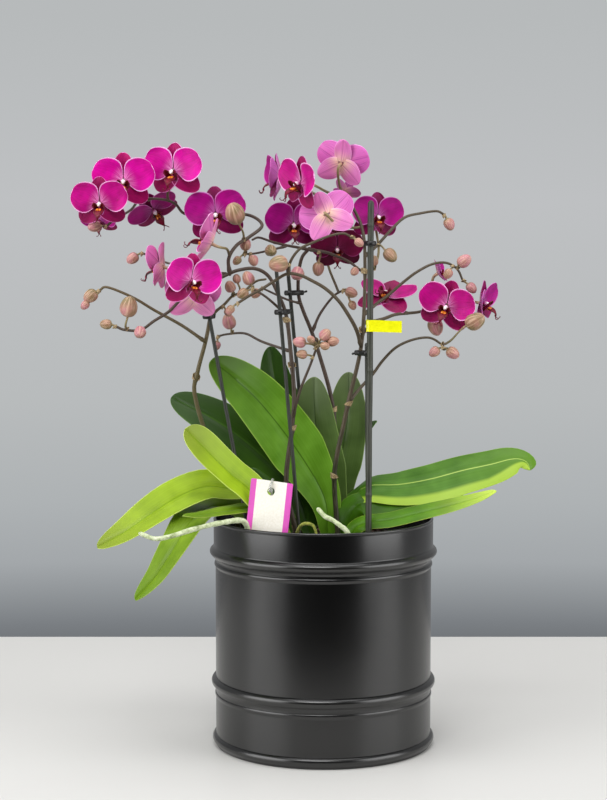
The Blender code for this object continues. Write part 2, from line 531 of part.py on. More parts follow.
# ---- stakes, clips, roots, tag and label ---------------------------------------------------
def build_stakes(home):
    dark = material("dyed_bamboo", (0.04, 0.05, 0.04), 0.6)
    for name, (radius, foot, top) in STAKES.items():
        add_object(name, tube_mesh(name, [foot, top], radius, radius, sides=2), dark, home)


def build_clips(home):
    black = material("black_plastic", (0.012, 0.012, 0.012), 0.4)
    for name, (first, second) in CLIPS.items():
        first = Vector(first)
        second = Vector(second)
        along = (second - first).normalized()
        side = along.cross(Vector((0, 0, 1))).normalized()
        middle = (first + second) / 2
        reach = (second - first).length / 2
        hug = 0.0046
        ring = []
        for step in range(14):
            turn = 2 * math.pi * step / 14
            shift = reach if math.cos(turn) > 0 else -reach
            ring.append(middle + along * (shift + hug * math.cos(turn)) + side * hug * math.sin(turn))
        add_object(name, tube_mesh(name, ring, CLIP_WIRE, CLIP_WIRE, sides=1, cyclic=True), black, home)


def build_roots(home):
    silver = material("air_root", (0.55, 0.62, 0.45), 0.7)
    for name, (radius, route) in ROOTS.items():
        add_object(name, tube_mesh(name, smooth_route(route, 2), radius, radius * 0.7), silver, home)


def build_card(name, size, place, turn, look, home):
    cage = bmesh.new()
    bmesh.ops.create_cube(cage, size=1.0)
    bmesh.ops.scale(cage, verts=cage.verts, vec=size)
    card = add_object(name, mesh_from_bmesh(name, cage, smooth=False), look, home)
    card.location = place
    card.rotation_euler = turn


def main():
    clear_scene()
    home = collection("orchid_planter")
    cutters = collection("cutters")
    build_planter(home)
    build_bark(home)
    leaf_green = material("leaf", (0.07, 0.17, 0.02), 0.35)
    for name, (width, face_base, face_tip, midrib) in LEAVES.items():
        build_leaf(name, width, face_base, face_tip, midrib, leaf_green, home)
    stem_brown = material("stem", (0.13, 0.10, 0.06), 0.55)
    for name in SPIKES:
        build_spike(name, stem_brown, home, cutters)
    build_flowers(home)
    build_stakes(home)
    build_clips(home)
    build_roots(home)
    build_card("plant_tag", TAG_SIZE, TAG_PLACE, (math.radians(-4), math.radians(-3), math.radians(2)),
               material("tag_card", (0.85, 0.62, 0.72), 0.5), home)
    build_card("stake_label", LABEL_SIZE, LABEL_PLACE, (0.0, math.radians(2), 0.0),
               material("yellow_film", (0.85, 0.85, 0.02), 0.4), home)


main()
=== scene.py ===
"""A group of flowering moth orchids in a black sheet-metal planter.

Each section makes one piece, in the order in which the group is put together: the planter, its
bark, the air roots, the leaves, the flower spikes, the flowers, the canes, the clips and the cards.
Lengths are in metres, +Z is up and -Y is the front.
"""
import math
import random

import bmesh
import bpy
from mathutils import Euler, Matrix, Vector, noise


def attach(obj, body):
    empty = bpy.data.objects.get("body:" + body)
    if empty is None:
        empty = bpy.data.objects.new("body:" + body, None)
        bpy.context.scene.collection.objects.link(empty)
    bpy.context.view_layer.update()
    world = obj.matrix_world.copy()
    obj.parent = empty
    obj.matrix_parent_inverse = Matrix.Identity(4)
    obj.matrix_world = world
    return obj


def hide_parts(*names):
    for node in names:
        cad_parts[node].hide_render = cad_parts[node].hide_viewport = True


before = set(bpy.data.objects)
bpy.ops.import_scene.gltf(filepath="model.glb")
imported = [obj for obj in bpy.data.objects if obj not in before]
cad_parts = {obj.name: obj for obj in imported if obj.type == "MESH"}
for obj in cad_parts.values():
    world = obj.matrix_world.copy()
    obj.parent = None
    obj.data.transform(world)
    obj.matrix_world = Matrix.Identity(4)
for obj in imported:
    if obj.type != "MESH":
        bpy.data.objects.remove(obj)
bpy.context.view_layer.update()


# ---- Planter -----------------------------------------------------------------------------------
# A cylinder of 0.6 mm steel sheet, rolled and lock-seamed at the back, with its rim turned over a
# wire and beads pressed into the wall. It is sprayed with satin black enamel.
POT_RADIUS = 0.100
POT_HEIGHT = 0.212
RIM_FLARE = 0.0017          # the band above the upper bead stands this far out
RIM_ROLL = 0.0013           # radius of the rolled edge
SHEET = 0.0012              # the wall as modelled, twice the real sheet
POT_FLOOR = 0.002
POT_STEPS = 160
SEAM_TURN = math.radians(118)
# Height of each bead's crest, its bulge, and its reach above and below the crest.
BEADS = [(0.1809, 0.0053, 0.0046, 0.0078), (0.1694, 0.0011, 0.0020, 0.0030),
         (0.0595, 0.0040, 0.0046, 0.0080), (0.0478, 0.0008, 0.0020, 0.0030), (0.0062, 0.0031, 0.0044, 0.0058)]


def linear(colour):
    """The linear colour of an sRGB hex value."""
    parts = [int(colour[place:place + 2], 16) / 255 for place in (1, 3, 5)]
    return (*[part / 12.92 if part <= 0.04045 else ((part + 0.055) / 1.055) ** 2.4 for part in parts], 1.0)


def add(tree, kind, settings, links):
    """Adds one node, with its settings, and a value or a socket on each input that links names."""
    made = tree.nodes.new("ShaderNode" + kind)
    for name, value in settings.items():
        if name == "stops":
            ramp = made.color_ramp.elements
            for place, (position, colour) in enumerate(value):
                stop = ramp[place] if place < 2 else ramp.new(position)
                stop.position = position
                stop.color = linear(colour)
        else:
            setattr(made, name, value)
    for name, value in links.items():
        if isinstance(value, bpy.types.NodeSocket):
            tree.links.new(value, made.inputs[name])
        else:
            made.inputs[name].default_value = value
    return made


def finish_for(name, **values):
    """A new material with its Principled values: returns it, its node tree and its shader."""
    made = bpy.data.materials.new(name)
    made.use_nodes = True
    shader = made.node_tree.nodes["Principled BSDF"]
    for socket, value in values.items():
        shader.inputs[socket.replace("_", " ")].default_value = value
    return made, made.node_tree, shader


def place(name, mesh, finishes, slot, stands_for=(), matrix=None):
    """Puts a finished mesh on a new object, and hides the CAD nodes it stands for."""
    if not mesh.materials:
        for finish in finishes:
            mesh.materials.append(finish)
    made = bpy.data.objects.new(name, mesh)
    bpy.context.scene.collection.objects.link(made)
    if matrix is not None:
        made.matrix_world = matrix
    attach(made, "root")
    if stands_for:
        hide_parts(*stands_for)
    return made


def mesh_of(name, cage, smooth=True):
    """Ends a bmesh: faces made to point outwards, and shading set."""
    bmesh.ops.recalc_face_normals(cage, faces=cage.faces)
    made = bpy.data.meshes.new(name)
    cage.to_mesh(made)
    cage.free()
    if smooth:
        made.shade_smooth()
        made.set_sharp_from_angle(angle=math.radians(50))
    return made


def turned(name, profile, steps, shift=None):
    """A solid turned round +Z from (radius, height) pairs that start and end on the axis."""
    cage = bmesh.new()
    maps = cage.loops.layers.uv.new("wrap")
    rings = []
    for radius, height in profile:
        if radius == 0.0:
            rings.append([cage.verts.new((0.0, 0.0, height))])
            continue
        ring = []
        for step in range(steps):
            turn = 2 * math.pi * step / steps
            out = radius + (shift(turn, radius, height) if shift else 0.0)
            ring.append(cage.verts.new((out * math.cos(turn), out * math.sin(turn), height)))
        rings.append(ring)
    for row, (upper, lower) in enumerate(zip(rings, rings[1:])):
        for step in range(steps):
            after = (step + 1) % steps
            corners = [(upper[step % len(upper)], step, row), (lower[step % len(lower)], step, row + 1),
                       (lower[after % len(lower)], step + 1, row + 1),
                       (upper[after % len(upper)], step + 1, row)]
            if len(upper) == 1:
                corners.pop(3)
            if len(lower) == 1:
                corners.pop(2)
            face = cage.faces.new([corner[0] for corner in corners])
            for loop, (_, across, along) in zip(face.loops, corners):
                loop[maps].uv = (across / steps, along / len(rings))
    return mesh_of(name, cage)


def wall_radius(height):
    """Outer radius of the wall at a height: each bead is a half round with a soft foot."""
    rim_foot = BEADS[0][0]
    radius = POT_RADIUS + (RIM_FLARE if height > rim_foot else 0.0)
    for crest, bulge, above, below in BEADS:
        reach = (height - crest) / above if height > crest else (crest - height) / below
        if reach < 1.0:
            fall = (1.0 - reach ** 2.4) ** 0.62 if height > crest else 0.5 + 0.5 * math.cos(math.pi * reach)
            radius = max(radius, POT_RADIUS + bulge * fall)
    return radius


def seam(turn, radius, height):
    """The lock seam stands a little proud of the wall, all the way up."""
    if radius < POT_RADIUS - 0.0002:
        return 0.0
    return 0.0006 * math.exp(-((turn - SEAM_TURN) / 0.022) ** 4)


heights = {0.0012, POT_HEIGHT - 0.0035}
for crest, bulge, above, below in BEADS:
    heights |= {round(max(0.0012, crest + (above if step > 0 else below) * step / 9), 6)
                for step in range(-11, 12)}
outer = [(wall_radius(height), height) for height in sorted(heights, reverse=True) if height < 0.2086]
rim_centre = POT_RADIUS + RIM_FLARE - RIM_ROLL + 0.0002
bore = POT_RADIUS - SHEET
roll = [(rim_centre + RIM_ROLL * math.cos(math.radians(angle)),
         POT_HEIGHT - RIM_ROLL + RIM_ROLL * math.sin(math.radians(angle))) for angle in range(210, -41, -25)]
foot = [(wall_radius(0.0012) - 0.0004, 0.0004), (wall_radius(0.0012) - 0.0012, 0.0), (0.0, 0.0)]
profile = [(0.0, POT_FLOOR), (bore, POT_FLOOR), (bore, 0.12), (bore, 0.207)] + roll + outer + foot

# Satin black enamel, sprayed on steel: a deep neutral black with a broad soft gloss, the faint
# ripple of sprayed paint 2 mm apart, a little dust, and a painted highlight along the crest of each bead.
enamel, tree, shader = finish_for("satin_black_enamel", IOR=1.62, Roughness=0.3)
where = add(tree, "TexCoord", {}, {}).outputs["Object"]
cloud = add(tree, "TexNoise", {}, {"Vector": where, "Scale": 14.0, "Detail": 4.0})
paint = add(tree, "ValToRGB", {"stops": [(0.3, "#030303"), (0.75, "#060606")]}, {"Fac": cloud.outputs["Fac"]})
flat = add(tree, "VectorMath", {"operation": "MULTIPLY"}, {0: where, 1: (1.0, 1.0, 0.0)})
reach = add(tree, "VectorMath", {"operation": "LENGTH"}, {0: flat.outputs["Vector"]})
# painted highlight: the crest of each bead, where the wall stands furthest out, is lightened towards #232320
crest_highlight_mask = add(tree, "MapRange", {}, {"Value": reach.outputs["Value"], "From Min": 0.1028, "From Max": 0.1052,
                                    "To Min": 0.0, "To Max": 0.35})
crest_highlight = add(tree, "Mix", {"data_type": "RGBA"}, {0: crest_highlight_mask.outputs[0], 6: paint.outputs["Color"],
                                                  7: linear("#232320")})
dust = add(tree, "TexVoronoi", {}, {"Vector": where, "Scale": 130.0})
speck = add(tree, "MapRange", {}, {"Value": dust.outputs["Distance"], "From Min": 0.05, "From Max": 0.02})
rare = add(tree, "Math", {"operation": "GREATER_THAN"}, {0: cloud.outputs["Fac"], 1: 0.64})
specks = add(tree, "Math", {"operation": "MULTIPLY"}, {0: speck.outputs[0], 1: rare.outputs[0]})
dusted = add(tree, "Mix", {"data_type": "RGBA"},
             {0: specks.outputs[0], 6: crest_highlight.outputs[2], 7: linear("#34332F")})
tree.links.new(dusted.outputs[2], shader.inputs["Base Color"])
worn = add(tree, "TexNoise", {}, {"Vector": where, "Scale": 18.0, "Detail": 2.0})
gloss = add(tree, "MapRange", {}, {"Value": worn.outputs["Fac"], "From Min": 0.3, "From Max": 0.7,
                                   "To Min": 0.24, "To Max": 0.27})
tree.links.new(gloss.outputs[0], shader.inputs["Roughness"])
ripple = add(tree, "TexNoise", {}, {"Vector": where, "Scale": 500.0, "Detail": 1.0})
bump = add(tree, "Bump", {}, {"Height": ripple.outputs["Fac"], "Strength": 0.03, "Distance": 0.0005})
tree.links.new(bump.outputs["Normal"], shader.inputs["Normal"])

place("planter_shell", turned("planter_shell", profile, POT_STEPS, seam), [enamel], "planter_enamel",
      ["planter"])


# ---- Bark bed ----------------------------------------------------------------------------------
# Damp chips of composted pine bark, 8 to 22 mm long, packed round the root balls. The bed below is
# one body, and loose chips lie on it in all directions.
BARK_TOP = 0.188
BED_RADIUS = 0.0975         # just clear of the wall
BED_BOTTOM = 0.004
CHIPS = 330
CHIP_REACH = 0.0875         # chips lie this far out at most
chance = random.Random(11)


def bed_shift(turn, radius, height):
    """The bed's top is uneven, and its side keeps just clear of the wall."""
    return -0.0015 * abs(noise.noise(Vector((math.cos(turn), math.sin(turn), radius * 60)) * 3.0))


bed_profile = [(0.0, BARK_TOP)]
for step in range(1, 25):
    radius = BED_RADIUS * step / 24
    bed_profile.append((radius, BARK_TOP + 0.0012 * noise.noise(Vector((radius * 200, 3.1, 0.7)))))
bed_profile += [(BED_RADIUS, 0.1), (BED_RADIUS, BED_BOTTOM), (0.0, BED_BOTTOM)]

# Composted pine bark: matt, crumbly and layered, from grey brown to near black where it is wet.
bark, tree, shader = finish_for("composted_pine_bark", Roughness=0.88)
where = add(tree, "TexCoord", {}, {}).outputs["Object"]
layers = add(tree, "TexNoise", {}, {"Vector": where, "Scale": 95.0, "Detail": 6.0, "Roughness": 0.65})
tones = add(tree, "ValToRGB", {"stops": [(0.28, "#17100B"), (0.5, "#3B2719"), (0.64, "#6A4A31"),
                                         (0.78, "#94765A")]},
            {"Fac": layers.outputs["Fac"]})
tree.links.new(tones.outputs["Color"], shader.inputs["Base Color"])
crumb = add(tree, "TexNoise", {}, {"Vector": where, "Scale": 700.0, "Detail": 4.0})
bump = add(tree, "Bump", {}, {"Height": crumb.outputs["Fac"], "Strength": 0.7, "Distance": 0.001})
tree.links.new(bump.outputs["Normal"], shader.inputs["Normal"])

place("bark_body", turned("bark_body", bed_profile, 72, bed_shift), [bark], "pine_bark", ["bark_bed"])

cage = bmesh.new()
for _ in range(CHIPS):
    reach = CHIP_REACH * math.sqrt(chance.random())
    turn = chance.uniform(0, 2 * math.pi)
    half = Vector((chance.uniform(4, 11), chance.uniform(3, 7), chance.uniform(1.2, 3.0))) / 1000
    lie = Matrix.Rotation(chance.uniform(0, 6.28), 3, "Z") @ Matrix.Rotation(chance.gauss(0, 0.35), 3, "X")
    middle = Vector((reach * math.cos(turn), reach * math.sin(turn), BARK_TOP + chance.uniform(0.0, 0.0028)))
    corners = []
    for corner in range(14):
        way = Vector((chance.uniform(-1, 1), chance.uniform(-1, 1), chance.uniform(-1, 1)))
        way = way.normalized() * chance.uniform(0.8, 1.15)
        corners.append(cage.verts.new(middle + lie @ Vector([way[axis] * half[axis] for axis in range(3)])))
    hull = bmesh.ops.convex_hull(cage, input=corners)
    inner = [item for item in hull["geom_interior"] if isinstance(item, bmesh.types.BMVert)]
    bmesh.ops.delete(cage, geom=inner, context="VERTS")
place("bark_chips", mesh_of("bark_chips", cage, smooth=False), [bark], "pine_bark")


# ---- Air roots ---------------------------------------------------------------------------------
# Thick spongy roots that left the bark and hang in the air. Their dead outer skin is silvery, and
# a young thin one that hooks back into the bark is still green. Each has a radius and a route.
ROOTS = {
    "air_root_left": (0.0026, [(-0.068, -0.063, 0.199), (-0.069, -0.066, 0.213), (-0.074, -0.073, 0.2195),
                               (-0.089, -0.088, 0.220), (-0.103, -0.098, 0.2185), (-0.118, -0.105, 0.2155),
                               (-0.134, -0.109, 0.211), (-0.148, -0.110, 0.209), (-0.161, -0.107, 0.213)]),
    "air_root_front": (0.0026, [(0.023, -0.084, 0.198), (0.0205, -0.086, 0.2105),
                                (0.0139, -0.085, 0.2168), (0.0069, -0.082, 0.2213),
                                (0.0007, -0.079, 0.2240), (-0.0051, -0.075, 0.2297)]),
    "air_root_hook": (0.0017, [(-0.026, -0.062, 0.196), (-0.0242, -0.067, 0.2070),
                               (-0.0206, -0.074, 0.2150), (-0.0153, -0.079, 0.2176),
                               (-0.0091, -0.082, 0.2152), (-0.0060, -0.083, 0.204)]),
}


def smooth_route(points, per_span):
    """Points along a smooth curve through the given ones."""
    knots = [Vector(point) for point in points]
    knots = [2 * knots[0] - knots[1]] + knots + [2 * knots[-1] - knots[-2]]
    route = []
    for index in range(1, len(knots) - 2):
        a, b, c, d = knots[index - 1:index + 3]
        for step in range(per_span):
            t = step / per_span
            route.append(0.5 * (2 * b + (c - a) * t + (2 * a - 5 * b + 4 * c - d) * t ** 2
                                + (3 * b - a - 3 * c + d) * t ** 3))
    return route + [knots[-2]]


def along_route(route):
    """Distance from the start to each point of a route."""
    found = [0.0]
    for start, end in zip(route, route[1:]):
        found.append(found[-1] + (end - start).length)
    return found


def sweep(cage, route, radii, sides, run=None, finish=0):
    """A round solid along a route, with domed ends. The map holds turns across and run along."""
    maps = cage.loops.layers.uv.verify()
    run = run or along_route(route)
    ends = []
    for tip, inner, radius, place_along in ((route[0], route[1], radii[0], run[0]),
                                            (route[-1], route[-2], radii[-1], run[-1])):
        way = (tip - inner).normalized()
        ends.append([(tip + way * radius * 0.55, radius * 0.72, place_along),
                     (tip + way * radius * 0.88, radius * 0.32, place_along)])
    stations = list(reversed(ends[0])) + list(zip(route, radii, run)) + ends[1]
    side = None
    rings = []
    for index, (point, radius, _) in enumerate(stations):
        before = stations[max(index - 1, 0)][0]
        after = stations[min(index + 1, len(stations) - 1)][0]
        way = (after - before).normalized()
        if side is None:
            side = way.orthogonal().normalized()
        side = (side - way * side.dot(way)).normalized()
        other = way.cross(side)
        rings.append([cage.verts.new(point + (side * math.cos(2 * math.pi * step / sides)
                                              + other * math.sin(2 * math.pi * step / sides)) * radius)
                      for step in range(sides)])
    for index, (ring, following) in enumerate(zip(rings, rings[1:])):
        for step in range(sides):
            after = (step + 1) % sides
            face = cage.faces.new((ring[step], ring[after], following[after], following[step]))
            face.material_index = finish
            for loop, spot in zip(face.loops, ((step, index), (step + 1, index), (step + 1, index + 1),
                                               (step, index + 1))):
                loop[maps].uv = (spot[0] / sides, stations[spot[1]][2])
    cage.faces.new(list(reversed(rings[0]))).material_index = finish
    cage.faces.new(rings[-1]).material_index = finish


def root_finish(name, dark, middle, light):
    """Root skin: velvety silver cells over green flesh, with paler scurf in patches 4 mm across."""
    made, tree, shader = finish_for(name, Roughness=0.8, Sheen_Weight=0.15, Sheen_Roughness=0.5)
    where = add(tree, "TexCoord", {}, {}).outputs["Object"]
    scurf = add(tree, "TexNoise", {}, {"Vector": where, "Scale": 240.0, "Detail": 5.0, "Roughness": 0.6})
    skin = add(tree, "ValToRGB", {"stops": [(0.3, dark), (0.5, middle), (0.7, light)]},
               {"Fac": scurf.outputs["Fac"]})
    tree.links.new(skin.outputs["Color"], shader.inputs["Base Color"])
    bump = add(tree, "Bump", {}, {"Height": scurf.outputs["Fac"], "Strength": 0.5, "Distance": 0.0008})
    tree.links.new(bump.outputs["Normal"], shader.inputs["Normal"])
    return made


silver_skin = root_finish("silvery_root_skin", "#7E8C58", "#B9C49A", "#DCE2C6")
green_skin = root_finish("green_root_skin", "#4C5416", "#7E8428", "#A8A44C")

for order, (name, (radius, points)) in enumerate(ROOTS.items()):
    route = smooth_route(points, 10)
    radii = []
    for index, point in enumerate(route):
        share = index / (len(route) - 1)
        knob = 1.0 + 0.16 * noise.noise(point * 150.0 + Vector((order, 0, 0)))
        knob += 0.07 * noise.noise(point * 420.0)
        radii.append(radius * knob * (1.0 - 0.25 * share))
    cage = bmesh.new()
    sweep(cage, route, radii, 14)
    skin = green_skin if "hook" in name else silver_skin
    place(name + "_skin", mesh_of(name + "_skin", cage), [skin], "air_root", [name])


# ---- Leaves ------------------------------------------------------------------------------------
# Thick strap leaves, folded a little along a sunken midrib and clasping the short stem at the foot.
# The upper face is waxy and the lower one is paler and matt.
LEAF_FOOT = 0.1945
LEAF_THICK = 0.0019
# Width, width at the foot as part of it, bluntness of the tip, cupping of the two sides, direction
# the upper face looks at the foot and at the tip, finish, and the midrib's points.
LEAVES = {
    "leaf_upright_front": (0.055, 0.20, 5, (0.15, 0.15), (0.05, -0.97, 0.2), (0.1, -0.9, 0.45), "upright",
                           [(0.004, -0.007, LEAF_FOOT), (0.0010, -0.008, 0.2301), (-0.0224, -0.005, 0.2719),
                            (-0.0565, -0.001, 0.3161), (-0.0830, 0.005, 0.3410), (-0.104, 0.011, 0.357)]),
    "leaf_left_dark": (0.051, 0.25, 6, (0.12, 0.12), (0.2, -0.75, 0.65), (0.1, -0.7, 0.7), "dark",
                       [(-0.012, 0.006, LEAF_FOOT), (-0.024, 0.010, 0.233), (-0.059, 0.016, 0.269),
                        (-0.096, 0.022, 0.297), (-0.142, 0.028, 0.321)]),
    "leaf_left_young": (0.036, 0.45, 14, (0.20, 0.20), (0.35, -0.65, 0.65), (0.3, -0.7, 0.65), "young",
                        [(-0.034, -0.036, LEAF_FOOT), (-0.064, -0.045, 0.239), (-0.0828, -0.050, 0.2573),
                         (-0.0987, -0.055, 0.2733), (-0.1119, -0.058, 0.2872), (-0.1240, -0.060, 0.3000)]),
    "leaf_left_arching": (0.046, 0.25, 3, (0.17, 0.17), (0.1, -0.4, 0.9), (-0.3, -0.75, 0.6), "young",
                          [(-0.038, 0.002, LEAF_FOOT), (-0.062, -0.003, 0.232), (-0.0879, -0.010, 0.2395),
                           (-0.1087, -0.018, 0.2425), (-0.1308, -0.032, 0.2360), (-0.1518, -0.044, 0.2245),
                           (-0.1762, -0.056, 0.2083), (-0.1921, -0.060, 0.1995), (-0.2036, -0.062, 0.1935)]),
    "leaf_left_hanging": (0.045, 0.50, 1.7, (0.15, 0.15), (0.0, -0.3, 0.95), (-0.45, -0.8, 0.4), "hanging",
                          [(-0.052, -0.010, LEAF_FOOT), (-0.078, -0.004, 0.2190), (-0.0991, -0.010, 0.2230),
                           (-0.1092, -0.028, 0.2225), (-0.1199, -0.050, 0.2155), (-0.1307, -0.066, 0.1999),
                           (-0.1408, -0.076, 0.1844), (-0.1503, -0.082, 0.1701), (-0.1677, -0.088, 0.1506)]),
    "leaf_left_low": (0.017, 0.60, 2, (0.05, 0.05), (0.0, -0.5, 0.85), (0.0, -0.5, 0.85), "hanging",
                      [(-0.050, -0.038, LEAF_FOOT), (-0.062, -0.042, 0.2235), (-0.0862, -0.056, 0.2260),
                       (-0.1038, -0.066, 0.2245), (-0.115, -0.073, 0.2240), (-0.1254, -0.078, 0.2255)]),
    "leaf_behind_tag": (0.014, 0.4, 4, (0.10, 0.10), (0.3, -0.8, 0.5), (0.3, -0.8, 0.5), "dark",
                        [(-0.030, -0.018, LEAF_FOOT), (-0.042, -0.022, 0.232), (-0.054, -0.020, 0.248),
                         (-0.066, -0.018, 0.260)]),
    "leaf_back_tall": (0.040, 0.3, 5, (0.15, 0.15), (0.2, -0.95, 0.2), (0.2, -0.95, 0.2), "dark",
                       [(-0.012, 0.040, LEAF_FOOT), (-0.018, 0.042, 0.240), (-0.026, 0.044, 0.281),
                        (-0.043, 0.046, 0.328), (-0.050, 0.048, 0.367)]),
    "leaf_centre_olive": (0.046, 0.3, 4, (0.24, 0.24), (-0.1, -0.95, 0.2), (-0.1, -0.95, 0.2), "olive",
                          [(0.018, 0.006, LEAF_FOOT), (0.0062, 0.008, 0.2300), (-0.0010, 0.009, 0.2592),
                           (-0.0066, 0.009, 0.2919), (-0.0085, 0.009, 0.3198), (-0.0084, 0.009, 0.3412)]),
    "leaf_back_right": (0.045, 0.3, 4, (0.15, 0.15), (-0.2, -0.95, 0.2), (-0.2, -0.95, 0.2), "olive",
                        [(0.012, 0.034, LEAF_FOOT), (0.0140, 0.038, 0.2450), (0.0185, 0.041, 0.2696),
                         (0.0232, 0.045, 0.2977), (0.0243, 0.048, 0.3259), (0.0243, 0.050, 0.3427)]),
    "leaf_back_low": (0.020, 0.4, 2.5, (0.15, 0.15), (-0.5, -0.7, 0.4), (-0.4, -0.6, 0.6), "dark",
                      [(0.024, 0.036, LEAF_FOOT), (0.0175, 0.044, 0.2500), (0.0262, 0.052, 0.2712),
                       (0.0510, 0.060, 0.2960)]),
    "leaf_right_long": (0.052, 0.60, 4, (0.0, -0.40), (-0.05, -0.12, 0.98), (0.15, -0.62, 0.77), "long",
                        [(0.029, 0.012, LEAF_FOOT), (0.0300, 0.008, 0.2290), (0.0420, 0.003, 0.2405),
                         (0.0695, -0.002, 0.2425), (0.0984, -0.004, 0.2478), (0.1288, -0.004, 0.2560),
                         (0.1547, -0.003, 0.2615), (0.1722, -0.002, 0.2660), (0.1822, -0.002, 0.2662),
                         (0.1884, -0.004, 0.2630), (0.1906, -0.008, 0.2570)]),
    "leaf_right_second": (0.036, 0.75, 3, (0.0, -0.15), (-0.05, -0.40, 0.9), (0.1, -0.55, 0.83), "lower",
                          [(0.025, -0.016, LEAF_FOOT), (0.0250, -0.016, 0.2150), (0.0333, -0.015, 0.2268),
                           (0.0564, -0.014, 0.2270), (0.0795, -0.014, 0.2300), (0.1015, -0.014, 0.2336),
                           (0.1210, -0.013, 0.2382), (0.1349, -0.012, 0.2420)]),
    "leaf_right_low": (0.021, 0.80, 2.6, (0.0, -0.10), (-0.05, -0.55, 0.83), (0.1, -0.62, 0.78), "fading",
                       [(0.026, -0.038, LEAF_FOOT), (0.0270, -0.037, 0.2040), (0.0360, -0.038, 0.2120),
                        (0.0608, -0.041, 0.2158), (0.0866, -0.043, 0.2223), (0.1126, -0.044, 0.2287),
                        (0.1378, -0.044, 0.2360), (0.1559, -0.043, 0.2425)]),
}


def shell(cage, points, thick, front=0, back=1):
    """A closed thin sheet round a grid of points, rows going along it. Its map is 0 to 1 each way."""
    maps = cage.loops.layers.uv.verify()
    rows, columns = len(points), len(points[0])
    upper, lower = [], []
    for row in range(rows):
        above, below = [], []
        for column in range(columns):
            right = points[row][min(column + 1, columns - 1)] - points[row][max(column - 1, 0)]
            ahead = points[min(row + 1, rows - 1)][column] - points[max(row - 1, 0)][column]
            out = right.cross(ahead).normalized()
            half = thick(2 * column / (columns - 1) - 1, row / (rows - 1)) / 2
            above.append(cage.verts.new(points[row][column] + out * half))
            below.append(cage.verts.new(points[row][column] - out * half))
        upper.append(above)
        lower.append(below)

    def quad(corners, finish):
        face = cage.faces.new([sheet[row][column] for sheet, row, column in corners])
        face.material_index = finish
        for loop, (_, row, column) in zip(face.loops, corners):
            loop[maps].uv = (column / (columns - 1), row / (rows - 1))

    for row in range(rows - 1):
        for column in range(columns - 1):
            after, next_row = column + 1, row + 1
            quad(((upper, row, column), (upper, row, after), (upper, next_row, after),
                  (upper, next_row, column)),
                 front)
            quad(((lower, row, column), (lower, next_row, column), (lower, next_row, after),
                  (lower, row, after)),
                 back)
        for column, first, second in ((0, upper, lower), (columns - 1, lower, upper)):
            quad(((first, row, column), (first, row + 1, column), (second, row + 1, column),
                  (second, row, column)), front)
    for column in range(columns - 1):
        for row, first, second in ((0, lower, upper), (rows - 1, upper, lower)):
            quad(((first, row, column), (first, row, column + 1), (second, row, column + 1),
                  (second, row, column)), front)


def blade_width(share, foot, blunt):
    """Half width of a leaf along its length, as part of its greatest one."""
    swell = foot + (1 - foot) * min(1.0, share / 0.42) ** 0.9
    return max(0.03, swell * math.sqrt(max(0.0, 1 - share ** blunt)))


def point_at(route, lengths, distance):
    """The point at a distance along a route."""
    for index in range(len(route) - 1):
        if distance <= lengths[index + 1] or index == len(route) - 2:
            span = lengths[index + 1] - lengths[index]
            return route[index].lerp(route[index + 1], min(1.0, (distance - lengths[index]) / span))


def leaf_points(order, width, foot, blunt, cupping, face_foot, face_tip, midrib):
    """The grid of one leaf: cupped, creased at its midrib and gently waved at its edges."""
    route = smooth_route(midrib, 12)
    lengths = along_route(route)
    columns = 15
    grid = []
    for row in range(44):
        share = math.sin(row / 43 * math.pi / 2) ** 1.25
        point = point_at(route, lengths, lengths[-1] * share)
        ahead = point_at(route, lengths, min(lengths[-1], lengths[-1] * share + 0.002))
        behind = point_at(route, lengths, max(0.0, lengths[-1] * share - 0.002))
        along = (ahead - behind).normalized()
        face = Vector(face_foot).lerp(Vector(face_tip), share)
        across = along.cross(face).normalized()
        face = across.cross(along).normalized()
        half = width / 2 * blade_width(share, foot, blunt)
        line = []
        for column in range(columns):
            side = 2 * column / (columns - 1) - 1
            rise = cupping[side > 0] * abs(side) ** 1.5 + 0.25 * max(0.0, 0.3 - share) * abs(side)
            crease = -0.0012 * math.exp(-(side * half / 0.0016) ** 2)
            wave = 0.035 * abs(side) ** 3 * math.sin(9 * share + 2.1 * order + (1.3 if side > 0 else 0.0))
            reach = half * side * (1 - 0.03 * abs(side))
            line.append(point + across * reach + face * (half * (rise + wave) + crease))
        grid.append(line)
    return grid


def leaf_thick(side, share):
    """A leaf is thickest at its midrib and foot and thins to its edge."""
    return LEAF_THICK * (0.30 + 0.70 * (1 - abs(side) ** 3)) * (1.15 - 0.45 * share)


